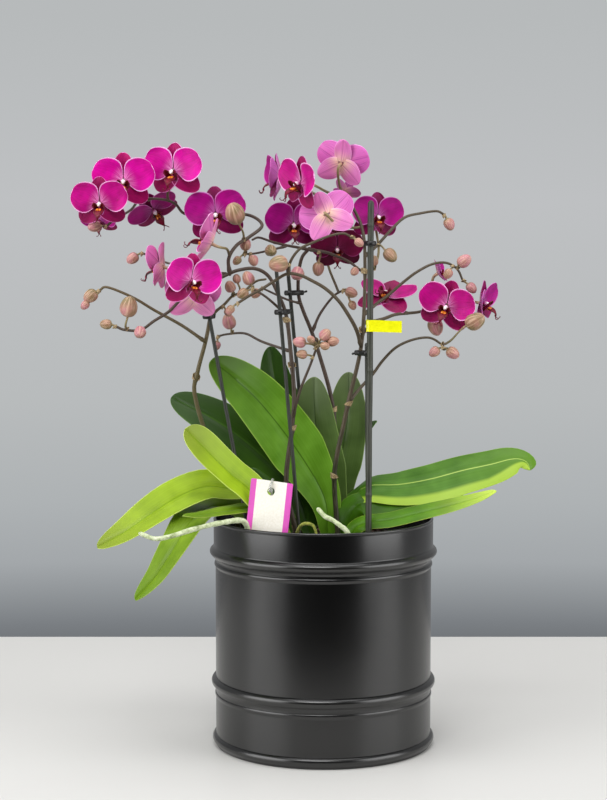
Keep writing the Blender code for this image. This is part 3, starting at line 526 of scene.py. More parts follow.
def leaf_finish(name, dark, light, edge, rib, tip, narrow=0.03, painted_light_band=None):
    """Waxy leaf skin: faint veins 1.5 mm apart, a mottle 25 mm across, a rib, an edge and a tip."""
    made, tree, shader = finish_for(name, Roughness=0.36, IOR=1.42, Specular_IOR_Level=0.25)
    chart = add(tree, "TexCoord", {}, {})
    mottle = add(tree, "TexNoise", {}, {"Vector": chart.outputs["Object"], "Scale": 38.0, "Detail": 2.0})
    long_way = add(tree, "Mapping", {}, {"Vector": chart.outputs["UV"], "Scale": (34.0, 1.2, 1.0)})
    veins = add(tree, "TexNoise", {}, {"Vector": long_way.outputs[0], "Scale": 1.0, "Detail": 2.0})
    both = add(tree, "Math", {"operation": "MULTIPLY_ADD"}, {0: veins.outputs["Fac"], 1: 0.3,
                                                             2: mottle.outputs["Fac"]})
    tone = add(tree, "MapRange", {}, {"Value": both.outputs[0], "From Min": 0.45, "From Max": 0.85})
    green = add(tree, "Mix", {"data_type": "RGBA"}, {0: tone.outputs[0], 6: linear(dark), 7: linear(light)})
    split = add(tree, "SeparateXYZ", {}, {0: chart.outputs["UV"]})
    far = add(tree, "MapRange", {"interpolation_type": "SMOOTHSTEP"},
              {"Value": split.outputs[1], "From Min": 0.35, "From Max": 0.95})
    tipped = add(tree, "Mix", {"data_type": "RGBA"}, {0: far.outputs[0], 6: green.outputs[2], 7: linear(tip)})
    side = add(tree, "Math", {"operation": "SUBTRACT"}, {0: split.outputs[0], 1: 0.5})
    away = add(tree, "Math", {"operation": "ABSOLUTE"}, {0: side.outputs[0]})
    middle = add(tree, "MapRange", {"interpolation_type": "SMOOTHSTEP"},
                 {"Value": away.outputs[0], "From Min": narrow, "From Max": 0.004, "To Max": 0.8})
    ribbed = add(tree, "Mix", {"data_type": "RGBA"},
                 {0: middle.outputs[0], 6: tipped.outputs[2], 7: linear(rib)})
    border = add(tree, "MapRange", {"interpolation_type": "SMOOTHSTEP"},
                 {"Value": away.outputs[0], "From Min": 0.475, "From Max": 0.497, "To Max": 0.8})
    edged = add(tree, "Mix", {"data_type": "RGBA"},
                {0: border.outputs[0], 6: ribbed.outputs[2], 7: linear(edge)})
    last = edged
    if painted_light_band:
        # painted light: a lighter band along one side that widens to the tip, where the turned-down edge of
        # the leaf catches the light
        reach = add(tree, "MapRange", {},
                    {"Value": split.outputs[1], "From Min": 0.6, "From Max": 0.9, "To Max": 0.6})
        ratio = add(tree, "Math", {"operation": "MULTIPLY_ADD"},
                    {0: side.outputs[0], 1: 2.0, 2: reach.outputs[0]})
        fade = add(tree, "MapRange", {"interpolation_type": "SMOOTHSTEP"},
                   {"Value": ratio.outputs[0], "From Min": 0.60, "From Max": 0.78})
        last = add(tree, "Mix", {"data_type": "RGBA"},
                   {0: fade.outputs[0], 6: edged.outputs[2], 7: linear(painted_light_band)})
    tree.links.new(last.outputs[2], shader.inputs["Base Color"])
    relief = add(tree, "Bump", {}, {"Height": veins.outputs["Fac"], "Strength": 0.12, "Distance": 0.0005})
    tree.links.new(relief.outputs["Normal"], shader.inputs["Normal"])
    return made


leaf_finishes = {
    "upright": (leaf_finish("waxy_leaf_mid_green", "#4A7610", "#64922A", "#8EB048", "#2C4E08", "#3A5A06",
                            0.018),
                leaf_finish("leaf_back_mid_green", "#5C8428", "#76983A", "#8FAE4C", "#7FA044", "#688C30")),
    "dark": (leaf_finish("waxy_leaf_dark_green", "#1E3A06", "#30500E", "#557A20", "#3C6216", "#2E4A1A"),
             leaf_finish("leaf_back_dark_green", "#3E6020", "#4E7028", "#668838", "#5C8034", "#48682A")),
    "young": (leaf_finish("waxy_leaf_yellow_green", "#7C9A10", "#A0C024", "#C8DA70", "#7A9A14", "#7E9030"),
              leaf_finish("leaf_back_yellow_green", "#8AA636", "#A2BA4A", "#C2D27C", "#A6BC54", "#98A454")),
    "hanging": (leaf_finish("waxy_leaf_lime_green", "#56740E", "#7E9C2A", "#A8BC58", "#64841A", "#5E7E14"),
                leaf_finish("leaf_back_lime_green", "#7A964A", "#92AC5C", "#AEC074", "#9CB464", "#8EA654")),
    # the long leaf's lighter side band, #98B63E, is painted light on its turned-down edge
    "long": (leaf_finish("waxy_leaf_bright_green", "#345E08", "#55822A", "#7E9E3C", "#B4CC68", "#567E20",
                         0.022, "#98B63E"),
             leaf_finish("leaf_back_bright_green", "#6E8E2A", "#86A63A", "#A2BC54", "#94AC48", "#7E9A34")),
    "lower": (leaf_finish("waxy_leaf_deep_green", "#2A4C04", "#3E6A0C", "#6E9030", "#345A08", "#4E7C14"),
              leaf_finish("leaf_back_deep_green", "#56782A", "#6E9038", "#88A850", "#7C9C44", "#668A34")),
    "fading": (leaf_finish("waxy_leaf_fading_green", "#365C06", "#528210", "#A8C04C", "#44700A", "#B8D04E"),
               leaf_finish("leaf_back_fading_green", "#6E8E30", "#88A844", "#B4C870", "#98B054", "#C0D070")),
    "olive": (leaf_finish("waxy_leaf_olive_green", "#3C5420", "#587238", "#78904C", "#2A4012", "#5C6C46",
                          0.018),
              leaf_finish("leaf_back_olive_green", "#586E38", "#6C8246", "#849656", "#76884C", "#667A42")),
}

for order, (name, measures) in enumerate(LEAVES.items()):
    cage = bmesh.new()
    shell(cage, leaf_points(order, *measures[:6], measures[7]), leaf_thick)
    place(name + "_blade", mesh_of(name + "_blade", cage), leaf_finishes[measures[6]], "leaf_green", [name])


# ---- Flower spikes -----------------------------------------------------------------------------
# Four flower stems with their side branches. A stem is olive near the bark and flushed brown and
# mauve higher up, with a swollen node and a dry papery sheath every 40 to 60 mm.
STEM_FOOT = 0.1915
# Each route: radius of the sheaths at its start and at its end, and its points. The first one is
# the main stem.
SPIKES = {
    "spike_left": [
        (0.0027, 0.0019, [(-0.078, 0.016, STEM_FOOT), (-0.088, 0.010, 0.240), (-0.107, -0.004, 0.286),
                          (-0.118, -0.013, 0.327), (-0.115, -0.017, 0.348), (-0.107, -0.020, 0.378),
                          (-0.1025, -0.021, 0.402)]),
        (0.0017, 0.0012, [(-0.108, -0.022, 0.376), (-0.128, -0.033, 0.391), (-0.152, -0.040, 0.405),
                          (-0.172, -0.042, 0.417), (-0.194, -0.045, 0.426), (-0.201, -0.046, 0.423)]),
        (0.0015, 0.0011, [(-0.1025, -0.021, 0.400), (-0.091, -0.018, 0.409), (-0.083, -0.015, 0.417),
                          (-0.073, -0.012, 0.421), (-0.062, -0.008, 0.430), (-0.053, -0.006, 0.432)]),
    ],
    "spike_arching": [
        (0.0027, 0.0013, [(-0.022, -0.025, STEM_FOOT), (-0.034, -0.027, 0.244), (-0.029, -0.027, 0.296),
                          (-0.027, -0.025, 0.328), (-0.030, -0.023, 0.366), (-0.034, -0.021, 0.399),
                          (-0.041, -0.020, 0.418), (-0.050, -0.020, 0.435), (-0.062, -0.022, 0.442),
                          (-0.076, -0.024, 0.441), (-0.087, -0.026, 0.437), (-0.107, -0.034, 0.427),
                          (-0.125, -0.045, 0.418), (-0.138, -0.049, 0.405), (-0.152, -0.050, 0.396),
                          (-0.164, -0.050, 0.388), (-0.178, -0.050, 0.388), (-0.186, -0.050, 0.391)]),
        (0.0013, 0.0010, [(-0.086, -0.026, 0.437), (-0.112, -0.014, 0.441), (-0.139, -0.010, 0.446),
                          (-0.156, -0.010, 0.452), (-0.165, -0.012, 0.456)]),
        (0.0018, 0.0012, [(-0.085, -0.026, 0.437), (-0.086, -0.027, 0.451), (-0.079, -0.024, 0.463),
                          (-0.067, -0.018, 0.471), (-0.056, -0.012, 0.481), (-0.067, -0.002, 0.490),
                          (-0.090, 0.006, 0.492), (-0.113, 0.008, 0.490), (-0.128, 0.004, 0.492),
                          (-0.136, -0.002, 0.501), (-0.149, -0.004, 0.505), (-0.167, -0.008, 0.504),
                          (-0.175, -0.016, 0.495), (-0.188, -0.022, 0.487), (-0.197, -0.024, 0.480)]),
        (0.0016, 0.0012, [(-0.028, -0.027, 0.307), (-0.022, -0.036, 0.331), (-0.012, -0.044, 0.357),
                          (-0.006, -0.050, 0.374)]),
        (0.0014, 0.0011, [(-0.030, -0.023, 0.367), (-0.056, -0.010, 0.375), (-0.072, 0.000, 0.382),
                          (-0.088, 0.008, 0.381), (-0.097, 0.012, 0.379)]),
        (0.0014, 0.0011, [(-0.034, -0.021, 0.400), (-0.050, -0.030, 0.415), (-0.060, -0.036, 0.422),
                          (-0.064, -0.038, 0.424)]),
    ],
    "spike_middle": [
        (0.0026, 0.0017, [(0.012, 0.016, STEM_FOOT), (0.012, 0.018, 0.240), (0.011, 0.021, 0.290),
                          (0.007, 0.023, 0.323), (-0.004, 0.024, 0.362), (-0.011, 0.020, 0.383),
                          (-0.019, 0.015, 0.403), (-0.023, 0.014, 0.417), (-0.023, 0.012, 0.435),
                          (-0.020, 0.010, 0.451), (-0.013, 0.010, 0.460)]),
        (0.0015, 0.0011, [(-0.014, 0.010, 0.459), (-0.035, 0.004, 0.463), (-0.047, 0.000, 0.466),
                          (-0.059, -0.004, 0.470), (-0.065, -0.007, 0.468)]),
        (0.0016, 0.0012, [(-0.014, 0.010, 0.459), (0.004, 0.001, 0.456), (0.023, -0.002, 0.448),
                          (0.036, -0.004, 0.439), (0.046, -0.003, 0.441)]),
        (0.0012, 0.0010, [(-0.034, 0.004, 0.462), (-0.060, -0.004, 0.456), (-0.072, -0.010, 0.455)]),
        (0.0015, 0.0011, [(-0.010, 0.020, 0.383), (-0.003, 0.022, 0.399), (0.009, 0.022, 0.415),
                          (0.018, 0.020, 0.421)]),
        (0.0012, 0.0010, [(-0.021, 0.014, 0.409), (-0.033, 0.000, 0.413), (-0.046, -0.002, 0.419),
                          (-0.056, -0.008, 0.424)]),
    ],
    "spike_right": [
        (0.0027, 0.0013, [(0.014, -0.024, STEM_FOOT), (0.010, -0.022, 0.240), (0.011, -0.024, 0.266),
                          (0.018, -0.026, 0.300), (0.024, -0.026, 0.328), (0.030, -0.026, 0.352),
                          (0.034, -0.027, 0.373), (0.036, -0.028, 0.396), (0.037, -0.029, 0.423),
                          (0.037, -0.030, 0.448), (0.036, -0.029, 0.470), (0.031, -0.022, 0.488),
                          (0.019, -0.012, 0.507), (0.006, 0.000, 0.508), (-0.004, 0.008, 0.508)]),
        (0.0020, 0.0013, [(0.034, -0.028, 0.372), (0.029, -0.034, 0.388), (0.020, -0.040, 0.404),
                          (0.012, -0.044, 0.415), (0.001, -0.047, 0.425), (-0.011, -0.048, 0.432),
                          (-0.022, -0.048, 0.437), (-0.033, -0.048, 0.438), (-0.044, -0.049, 0.432),
                          (-0.055, -0.050, 0.425), (-0.066, -0.050, 0.419), (-0.077, -0.050, 0.412)]),
        (0.0015, 0.0011, [(-0.032, -0.048, 0.437), (-0.030, -0.050, 0.449), (-0.022, -0.052, 0.460),
                          (-0.010, -0.054, 0.466), (0.005, -0.056, 0.472), (0.017, -0.056, 0.474),
                          (0.024, -0.056, 0.471)]),
        (0.0016, 0.0012, [(0.037, -0.030, 0.453), (0.048, -0.024, 0.463), (0.060, -0.020, 0.476),
                          (0.073, -0.014, 0.488), (0.088, -0.006, 0.492), (0.103, -0.002, 0.494),
                          (0.110, 0.000, 0.491)]),
        (0.0017, 0.0011, [(0.037, -0.028, 0.401), (0.048, -0.018, 0.410), (0.059, -0.015, 0.418),
                          (0.073, -0.014, 0.430), (0.085, -0.014, 0.439), (0.099, -0.012, 0.446),
                          (0.112, -0.010, 0.447), (0.122, -0.010, 0.441), (0.127, -0.008, 0.431)]),
        (0.0018, 0.0012, [(0.036, -0.028, 0.393), (0.053, -0.018, 0.396), (0.065, -0.014, 0.400),
                          (0.078, -0.006, 0.401), (0.089, 0.002, 0.402), (0.112, 0.012, 0.407),
                          (0.132, 0.012, 0.411)]),
        (0.0017, 0.0011, [(0.023, -0.026, 0.322), (0.033, -0.020, 0.333), (0.045, -0.016, 0.346),
                          (0.054, -0.014, 0.358), (0.066, -0.014, 0.370), (0.081, -0.014, 0.377),
                          (0.096, -0.014, 0.379), (0.106, -0.014, 0.374), (0.110, -0.014, 0.369)]),
    ],
}
# Shares of a main stem's length where it has a node and a sheath.
NODES = {"spike_left": (0.18, 0.42, 0.72), "spike_arching": (0.11, 0.26, 0.40, 0.50),
         "spike_middle": (0.20, 0.42, 0.66), "spike_right": (0.17, 0.36, 0.55, 0.70)}
NODE_HALF = 0.0022
STEM_SLIM = 0.92            # a stem's radius as part of its sheaths' radius


def swollen(distance, nodes):
    """How far a stem swells at a distance along it, near a node."""
    return max([0.0] + [0.38 * math.exp(-((distance - node) / NODE_HALF) ** 2) for node in nodes])


def frame_at(route, lengths, distance):
    """The point, the direction and two sideways directions at a distance along a route."""
    point = point_at(route, lengths, distance)
    way = (point_at(route, lengths, min(lengths[-1], distance + 0.002))
           - point_at(route, lengths, max(0.0, distance - 0.002))).normalized()
    side = way.cross(Vector((0.0, 1.0, 0.0))).normalized()
    return point, way, side, way.cross(side)


def add_sheath(cage, spot, radius, length, turn, finish):
    """A pointed scale that clasps a stem from its node upwards."""
    point, way, side, other = spot
    grid = []
    for row in range(9):
        share = row / 8
        spread = math.radians(150) * (1 - share) ** 0.7 + 0.05
        line = []
        for column in range(9):
            angle = turn + spread * (2 * column / 8 - 1)
            out = side * math.cos(angle) + other * math.sin(angle)
            line.append(point + way * (length * share - 0.0006)
                        + out * (radius * 1.12 + 0.0004 + 0.0009 * share ** 2))
        grid.append(line)
    shell(cage, grid, lambda side, share: 0.00045 * (1.1 - share), finish, finish)


# Orchid stem skin: smooth and waxy, olive low down, turning brown and mauve with height, with
# lengthwise fibres about 0.4 mm apart and small pale freckles.
def stem_finish(name, low, high, low_height, high_height):
    made, tree, shader = finish_for(name, Roughness=0.45, Specular_IOR_Level=0.3)
    chart = add(tree, "TexCoord", {}, {})
    split = add(tree, "SeparateXYZ", {}, {0: chart.outputs["Object"]})
    patches = add(tree, "TexNoise", {}, {"Vector": chart.outputs["Object"], "Scale": 60.0, "Detail": 3.0})
    jitter = add(tree, "MapRange", {}, {"Value": patches.outputs["Fac"], "From Min": 0.3, "From Max": 0.7,
                                        "To Min": -0.03, "To Max": 0.03})
    level = add(tree, "Math", {"operation": "ADD"}, {0: split.outputs[2], 1: jitter.outputs[0]})
    share = add(tree, "MapRange", {}, {"Value": level.outputs[0], "From Min": low_height,
                                       "From Max": high_height})
    skin = add(tree, "Mix", {"data_type": "RGBA"}, {0: share.outputs[0], 6: linear(low), 7: linear(high)})
    stretched = add(tree, "Mapping", {}, {"Vector": chart.outputs["UV"], "Scale": (26.0, 120.0, 1.0)})
    fibres = add(tree, "TexNoise", {}, {"Vector": stretched.outputs[0], "Scale": 1.0, "Detail": 3.0})
    shade = add(tree, "MapRange", {}, {"Value": fibres.outputs["Fac"], "From Min": 0.35, "From Max": 0.7,
                                       "To Min": 0.0, "To Max": 0.35})
    mixed = add(tree, "Mix", {"data_type": "RGBA"}, {0: shade.outputs[0], 6: skin.outputs[2],
                                                     7: linear("#74685A")})
    tree.links.new(mixed.outputs[2], shader.inputs["Base Color"])
    relief = add(tree, "Bump", {}, {"Height": fibres.outputs["Fac"], "Strength": 0.25, "Distance": 0.0004})
    tree.links.new(relief.outputs["Normal"], shader.inputs["Normal"])
    return made


stem_skins = {
    "spike_left": stem_finish("olive_stem_skin", "#4C4A22", "#5E5038", 0.24, 0.44),
    "spike_arching": stem_finish("brown_stem_skin", "#2E261D", "#44362E", 0.22, 0.44),
    "spike_middle": stem_finish("mauve_stem_skin", "#2E241D", "#42322C", 0.22, 0.44),
    "spike_right": stem_finish("olive_brown_stem_skin", "#1C2208", "#463C2C", 0.255, 0.285),
}

# Dry sheath paper: cream and tan, with brown lengthwise streaks.
sheath_paper, tree, shader = finish_for("dry_sheath_paper", Roughness=0.7)
chart = add(tree, "TexCoord", {}, {})
stretched = add(tree, "Mapping", {}, {"Vector": chart.outputs["UV"], "Scale": (14.0, 2.0, 1.0)})
streaks = add(tree, "TexNoise", {}, {"Vector": stretched.outputs[0], "Scale": 1.0, "Detail": 4.0})
tones = add(tree, "ValToRGB", {"stops": [(0.3, "#5E4630"), (0.5, "#96805C"), (0.7, "#C8B68E")]},
            {"Fac": streaks.outputs["Fac"]})
tree.links.new(tones.outputs["Color"], shader.inputs["Base Color"])
bump = add(tree, "Bump", {}, {"Height": streaks.outputs["Fac"], "Strength": 0.3, "Distance": 0.0004})
tree.links.new(bump.outputs["Normal"], shader.inputs["Normal"])

routes = {}
for name, stems in SPIKES.items():
    routes[name] = []
    cage = bmesh.new()
    for order, (start, end, points) in enumerate(stems):
        route = smooth_route(points, 8)
        lengths = along_route(route)
        routes[name].append(route)
        nodes = [share * lengths[-1] for share in NODES[name]] if order == 0 else [0.004]
        radii = [STEM_SLIM * (start + (end - start) * distance / lengths[-1])
                 * (1.0 + swollen(distance, nodes)) for distance in lengths]
        sweep(cage, route, radii, 12 if order == 0 else 10)
        if order == 0:
            for count, distance in enumerate(nodes):
                add_sheath(cage, frame_at(route, lengths, distance), start, 0.0055, 2.2 * count + 0.6, 1)
    place(name + "_stems", mesh_of(name + "_stems", cage), [stem_skins[name], sheath_paper], "spike_stem",
          [name])


# ---- Buds --------------------------------------------------------------------------------------
# Closed flowers on short curved stalks. Three sepals meet in shallow seams, tan pink with cream
# stripes, and green where they join the stalk.
# Middle of each bud and its length.
BUDS = {
    "spike_left": [((-0.209, -0.046, 0.418), 0.014), ((-0.214, -0.047, 0.410), 0.009),
                   ((-0.087, -0.020, 0.402), 0.008), ((-0.085, -0.022, 0.426), 0.012),
                   ((-0.079, -0.020, 0.433), 0.009)],
    "spike_arching": [((-0.174, -0.054, 0.409), 0.019), ((-0.195, -0.050, 0.393), 0.011),
                      ((-0.164, -0.057, 0.386), 0.013), ((-0.174, -0.013, 0.451), 0.012),
                      ((-0.207, -0.030, 0.480), 0.012), ((-0.080, -0.034, 0.492), 0.021),
                      ((-0.022, -0.050, 0.377), 0.012), ((-0.020, -0.048, 0.366), 0.010),
                      ((-0.012, -0.056, 0.380), 0.008), ((0.001, -0.054, 0.384), 0.012),
                      ((0.008, -0.052, 0.378), 0.011), ((0.001, -0.056, 0.374), 0.009),
                      ((-0.087, 0.004, 0.393), 0.015), ((-0.099, 0.014, 0.370), 0.009),
                      ((-0.073, -0.040, 0.420), 0.011), ((-0.068, -0.038, 0.434), 0.013)],
    "spike_middle": [((-0.071, -0.014, 0.464), 0.012), ((-0.048, -0.010, 0.458), 0.013),
                     ((-0.064, -0.012, 0.449), 0.011), ((-0.079, -0.014, 0.449), 0.009),
                     ((0.046, -0.006, 0.449), 0.010), ((0.028, -0.009, 0.439), 0.009),
                     ((0.026, 0.018, 0.419), 0.012), ((0.027, 0.018, 0.407), 0.009),
                     ((-0.005, 0.006, 0.441), 0.013), ((-0.024, -0.008, 0.437), 0.015),
                     ((-0.062, -0.012, 0.419), 0.010)],
    "spike_right": [((-0.041, -0.056, 0.447), 0.018), ((0.031, -0.058, 0.466), 0.009),
                    ((0.115, 0.001, 0.482), 0.012), ((0.060, -0.028, 0.454), 0.014),
                    ((0.128, -0.012, 0.449), 0.014), ((0.113, -0.014, 0.437), 0.010),
                    ((0.135, -0.009, 0.424), 0.011), ((0.137, -0.028, 0.395), 0.019),
                    ((0.103, 0.001, 0.388), 0.017), ((0.101, -0.015, 0.366), 0.011),
                    ((0.118, -0.015, 0.365), 0.013), ((-0.084, -0.052, 0.406), 0.009)],
}
BUD_STALK = 0.0009


def nearest_stem(stems, target):
    """The nearest point on any stem and the stem's direction there."""
    best = None
    for route in stems:
        for start, end in zip(route, route[1:]):
            span = end - start
            share = max(0.0, min(1.0, (target - start).dot(span) / span.length_squared))
            point = start + span * share
            if best is None or (point - target).length < (best[0] - target).length:
                best = (point, span.normalized())
    return best


def curved(start, leave, end, arrive, steps):
    """A stalk's smooth line, leaving and arriving in given directions."""
    pull = (end - start).length * 0.42
    line = []
    for step in range(steps + 1):
        t = step / steps
        line.append(start * (1 - t) ** 3 + (start + leave * pull) * 3 * t * (1 - t) ** 2
                    + (end - arrive * pull) * 3 * t ** 2 * (1 - t) + end * t ** 3)
    return line


def add_bud(cage, middle, axis, length):
    """An egg-shaped bud with three shallow seams, its point along the axis."""
    maps = cage.loops.layers.uv.verify()
    side = axis.orthogonal().normalized()
    other = axis.cross(side)
    rows, columns = 15, 24
    rings = []
    for row in range(1, rows):
        share = row / rows
        lean = math.pi * share
        radius = 0.415 * length * math.sin(lean) ** 0.9 * (1.0 + 0.16 * math.cos(lean))
        height = -0.5 * length * math.cos(lean)
        if share > 0.8:
            radius *= 1.0 - 0.9 * (share - 0.8)
        ring = []
        for column in range(columns):
            angle = 2 * math.pi * column / columns
            fold = 1.0 - 0.07 * math.exp(-((((angle + 0.5) % (2 * math.pi / 3)) - math.pi / 3) / 0.16) ** 2)
            out = radius * fold * (1.0 + 0.03 * math.cos(3 * angle))
            ring.append(cage.verts.new(middle + axis * height + side * math.cos(angle) * out
                                       + other * math.sin(angle) * out))
        rings.append(ring)
    low = cage.verts.new(middle - axis * length * 0.5)
    high = cage.verts.new(middle + axis * length * 0.51)
    for column in range(columns):
        after = (column + 1) % columns
        first, last = column / columns, (column + 1) / columns
        face = cage.faces.new((low, rings[0][after], rings[0][column]))
        for loop, spot in zip(face.loops, ((first, 0.0), (last, 1 / rows), (first, 1 / rows))):
            loop[maps].uv = spot
        for row in range(rows - 2):
            face = cage.faces.new((rings[row][column], rings[row][after], rings[row + 1][after],
                                   rings[row + 1][column]))
            for loop, spot in zip(face.loops, ((first, (row + 1) / rows), (last, (row + 1) / rows),
                                               (last, (row + 2) / rows), (first, (row + 2) / rows))):
                loop[maps].uv = spot
        face = cage.faces.new((rings[-1][column], rings[-1][after], high))
        for loop, spot in zip(face.loops, ((first, 1 - 1 / rows), (last, 1 - 1 / rows), (first, 1.0))):
            loop[maps].uv = spot


# Bud skin: satin sepal backs, cream and tan pink in lengthwise stripes 2 mm apart, green at the base.
bud_skin, tree, shader = finish_for("tan_pink_bud_skin", Roughness=0.5, Sheen_Weight=0.1)
chart = add(tree, "TexCoord", {}, {})
patches = add(tree, "TexNoise", {}, {"Vector": chart.outputs["Object"], "Scale": 45.0, "Detail": 2.0})
flush = add(tree, "ValToRGB", {"stops": [(0.32, "#6E6438"), (0.42, "#8E6C50"), (0.52, "#A87668"),
                                         (0.62, "#B87480"), (0.72, "#8A5A50")]},
            {"Fac": patches.outputs["Fac"]})
stretched = add(tree, "Mapping", {}, {"Vector": chart.outputs["UV"], "Scale": (20.0, 1.5, 1.0)})
streaks = add(tree, "TexNoise", {}, {"Vector": stretched.outputs[0], "Scale": 1.0, "Detail": 2.0})
stripe = add(tree, "MapRange", {"interpolation_type": "SMOOTHSTEP"},
             {"Value": streaks.outputs["Fac"], "From Min": 0.45, "From Max": 0.66, "To Max": 0.5})
striped = add(tree, "Mix", {"data_type": "RGBA"}, {0: stripe.outputs[0], 6: flush.outputs["Color"],
                                                   7: linear("#DCB89C")})
split = add(tree, "SeparateXYZ", {}, {0: chart.outputs["UV"]})
base = add(tree, "MapRange", {"interpolation_type": "SMOOTHSTEP"},
           {"Value": split.outputs[1], "From Min": 0.3, "From Max": 0.04, "To Max": 0.8})
based = add(tree, "Mix", {"data_type": "RGBA"}, {0: base.outputs[0], 6: striped.outputs[2],
                                                 7: linear("#6E6C2E")})
tree.links.new(based.outputs[2], shader.inputs["Base Color"])
bump = add(tree, "Bump", {}, {"Height": streaks.outputs["Fac"], "Strength": 0.25, "Distance": 0.0005})
tree.links.new(bump.outputs["Normal"], shader.inputs["Normal"])

# Stalk skin: waxy olive brown at the stem, cream pink towards the bud or the flower.
stalk_skin, tree, shader = finish_for("waxy_stalk_skin", Roughness=0.45)
chart = add(tree, "TexCoord", {}, {})
split = add(tree, "SeparateXYZ", {}, {0: chart.outputs["UV"]})
fade = add(tree, "ValToRGB", {"stops": [(0.0, "#4E4434"), (0.35, "#6E663E"), (0.75, "#94865A"),
                                        (1.0, "#B8927A")]},
           {"Fac": split.outputs[1]})
blotch = add(tree, "TexNoise", {}, {"Vector": chart.outputs["Object"], "Scale": 250.0, "Detail": 2.0})
shade = add(tree, "MapRange", {}, {"Value": blotch.outputs["Fac"], "From Min": 0.35, "From Max": 0.75,
                                   "To Max": 0.5})
mixed = add(tree, "Mix", {"data_type": "RGBA"}, {0: shade.outputs[0], 6: fade.outputs["Color"],
                                                 7: linear("#6A5246")})
tree.links.new(mixed.outputs[2], shader.inputs["Base Color"])
bump = add(tree, "Bump", {}, {"Height": blotch.outputs["Fac"], "Strength": 0.15, "Distance": 0.0004})
tree.links.new(bump.outputs["Normal"], shader.inputs["Normal"])

stalks = {}
for name, buds in BUDS.items():
    heads = bmesh.new()
    stalks[name] = bmesh.new()
    for middle, length in buds:
        middle = Vector(middle)
        start, way = nearest_stem(routes[name], middle)
        out = (middle - start).normalized()
        axis = (out + Vector((0.0, 0.0, -0.15))).normalized()
        leave = (out + way * 0.6 + Vector((0, 0, 0.25))).normalized()
        line = curved(start, leave, middle - axis * length * 0.45, axis, 8)
        shares = [step / 8 for step in range(9)]
        radii = [BUD_STALK * (1.25 - 0.5 * share + 0.7 * share ** 6) for share in shares]
        sweep(stalks[name], line, radii, 8, shares)
        add_sheath(stalks[name], (start, out, out.orthogonal().normalized(),
                                  out.cross(out.orthogonal().normalized())), 0.0012, 0.0035, 0.0, 1)
        add_bud(heads, middle, axis, length)
    place(name + "_buds", mesh_of(name + "_buds", heads), [bud_skin], "spike_stem")


# ---- Flowers -----------------------------------------------------------------------------------
# Moth orchid flowers 50 to 56 mm wide. Three sepals stand behind two broad round petals, and a
# small three-lobed lip with an orange callus hangs under the white-tipped column.
FLOWER_STALK = 0.0011
# Spike, middle, facing azimuth (0 = front, 90 = right) and elevation, roll, size, painted light level,
# cupping and breadth of the petals, and the points that a winding stalk passes.
FLOWERS = [
    ("spike_arching", (-0.200, -0.044, 0.501), -5, -10, 0, 0.92, "full", 0.0, 1.0, []),
    ("spike_arching", (-0.180, -0.030, 0.521), 0, -8, 2, 1.00, "bright", 0.0, 1.0, []),
    ("spike_arching", (-0.135, -0.022, 0.530), -20, -6, 0, 1.00, "bright", 0.1, 1.0, []),
    ("spike_arching", (-0.1570, 0.014, 0.4965), 30, -42, -48, 0.90, "deep", 0.2, 0.85, []),
    ("spike_arching", (-0.2040, -0.004, 0.4860), -20, -40, 0, 0.62, "deep", 0.3, 1.0, []),
    ("spike_arching", (-0.098, -0.014, 0.491), 0, -5, -5, 1.00, "deep", 0.0, 1.0, []),
    ("spike_arching", (-0.1010, -0.054, 0.4655), -100, 30, -34, 0.95, "full", 0.8, 0.85, []),
    ("spike_arching", (-0.1185, -0.064, 0.432), 32, -6, 6, 0.98, "bright", 0.3, 1.05, []),
    ("spike_arching", (-0.1185, -0.034, 0.4185), 172, 8, 0, 0.92, "full", 0.2, 1.0, []),
    ("spike_arching", (-0.1450, -0.042, 0.4440), -104, 5, -6, 0.88, "full", 0.6, 0.8, []),
    ("spike_right", (-0.0390, 0.016, 0.5230), -84, 8, 10, 0.92, "deep", 0.9, 1.0, []),
    ("spike_right", (-0.0200, -0.032, 0.5185), -56, 0, 12, 0.98, "full", 0.4, 1.0, []),
    ("spike_right", (0.016, -0.018, 0.537), 155, 15, -12, 0.90, "bright", 0.1, 1.0, []),
    ("spike_right", (-0.028, 0.018, 0.482), 8, -10, 0, 0.96, "deep", 0.0, 1.0, []),
    ("spike_right", (0.003, -0.038, 0.490), 170, -10, 22, 0.92, "bright", 0.2, 1.0,
     [(0.034, -0.024, 0.480), (0.026, -0.030, 0.479), (0.012, -0.036, 0.482)]),
    ("spike_middle", (0.049, 0.002, 0.489), 15, -5, 0, 0.88, "deep", 0.0, 1.0,
     [(0.048, 0.004, 0.446), (0.051, 0.014, 0.460)]),
    ("spike_middle", (0.013, 0.026, 0.460), 0, -20, 0, 0.88, "shaded", 0.1, 1.0, [(0.004, 0.040, 0.448)]),
    ("spike_right", (0.0580, 0.008, 0.4150), -10, 52, 14, 1.0, "full", 0.4, 0.60,
     [(0.078, -0.005, 0.401), (0.074, 0.010, 0.402)]),
    ("spike_right", (0.1120, -0.018, 0.4080), -16, -8, 18, 0.95, "full", 0.3, 1.0, []),
    ("spike_right", (0.1450, 0.002, 0.4100), 68, -4, -14, 0.86, "deep", 0.7, 0.85, []),
    ("spike_right", (0.106, 0.012, 0.437), 80, 30, 0, 0.50, "deep", 0.9, 0.6, []),
    ("spike_right", (0.020, 0.022, 0.511), 150, 30, 30, 0.55, "deep", 0.9, 0.5, []),
]
# Parts of a flower in its own frame, +Z out of it and +Y to the upper sepal: direction in degrees,
# length, half width, height of the middle, backward bend, and how its sides lag.
SEPALS = {"upper": (90, 0.0236, 0.0096, -0.0008, 0.0030, 0.10),
          "lower_left": (218, 0.0258, 0.0108, -0.0012, 0.0040, 0.12),
          "lower_right": (-38, 0.0258, 0.0108, -0.0012, 0.0040, 0.12)}
PETALS = {"left": (155, 0.0275, 0.0172, 0.0014, -0.0010, 0.40),
          "right": (25, 0.0275, 0.0172, 0.0014, -0.0010, 0.40)}


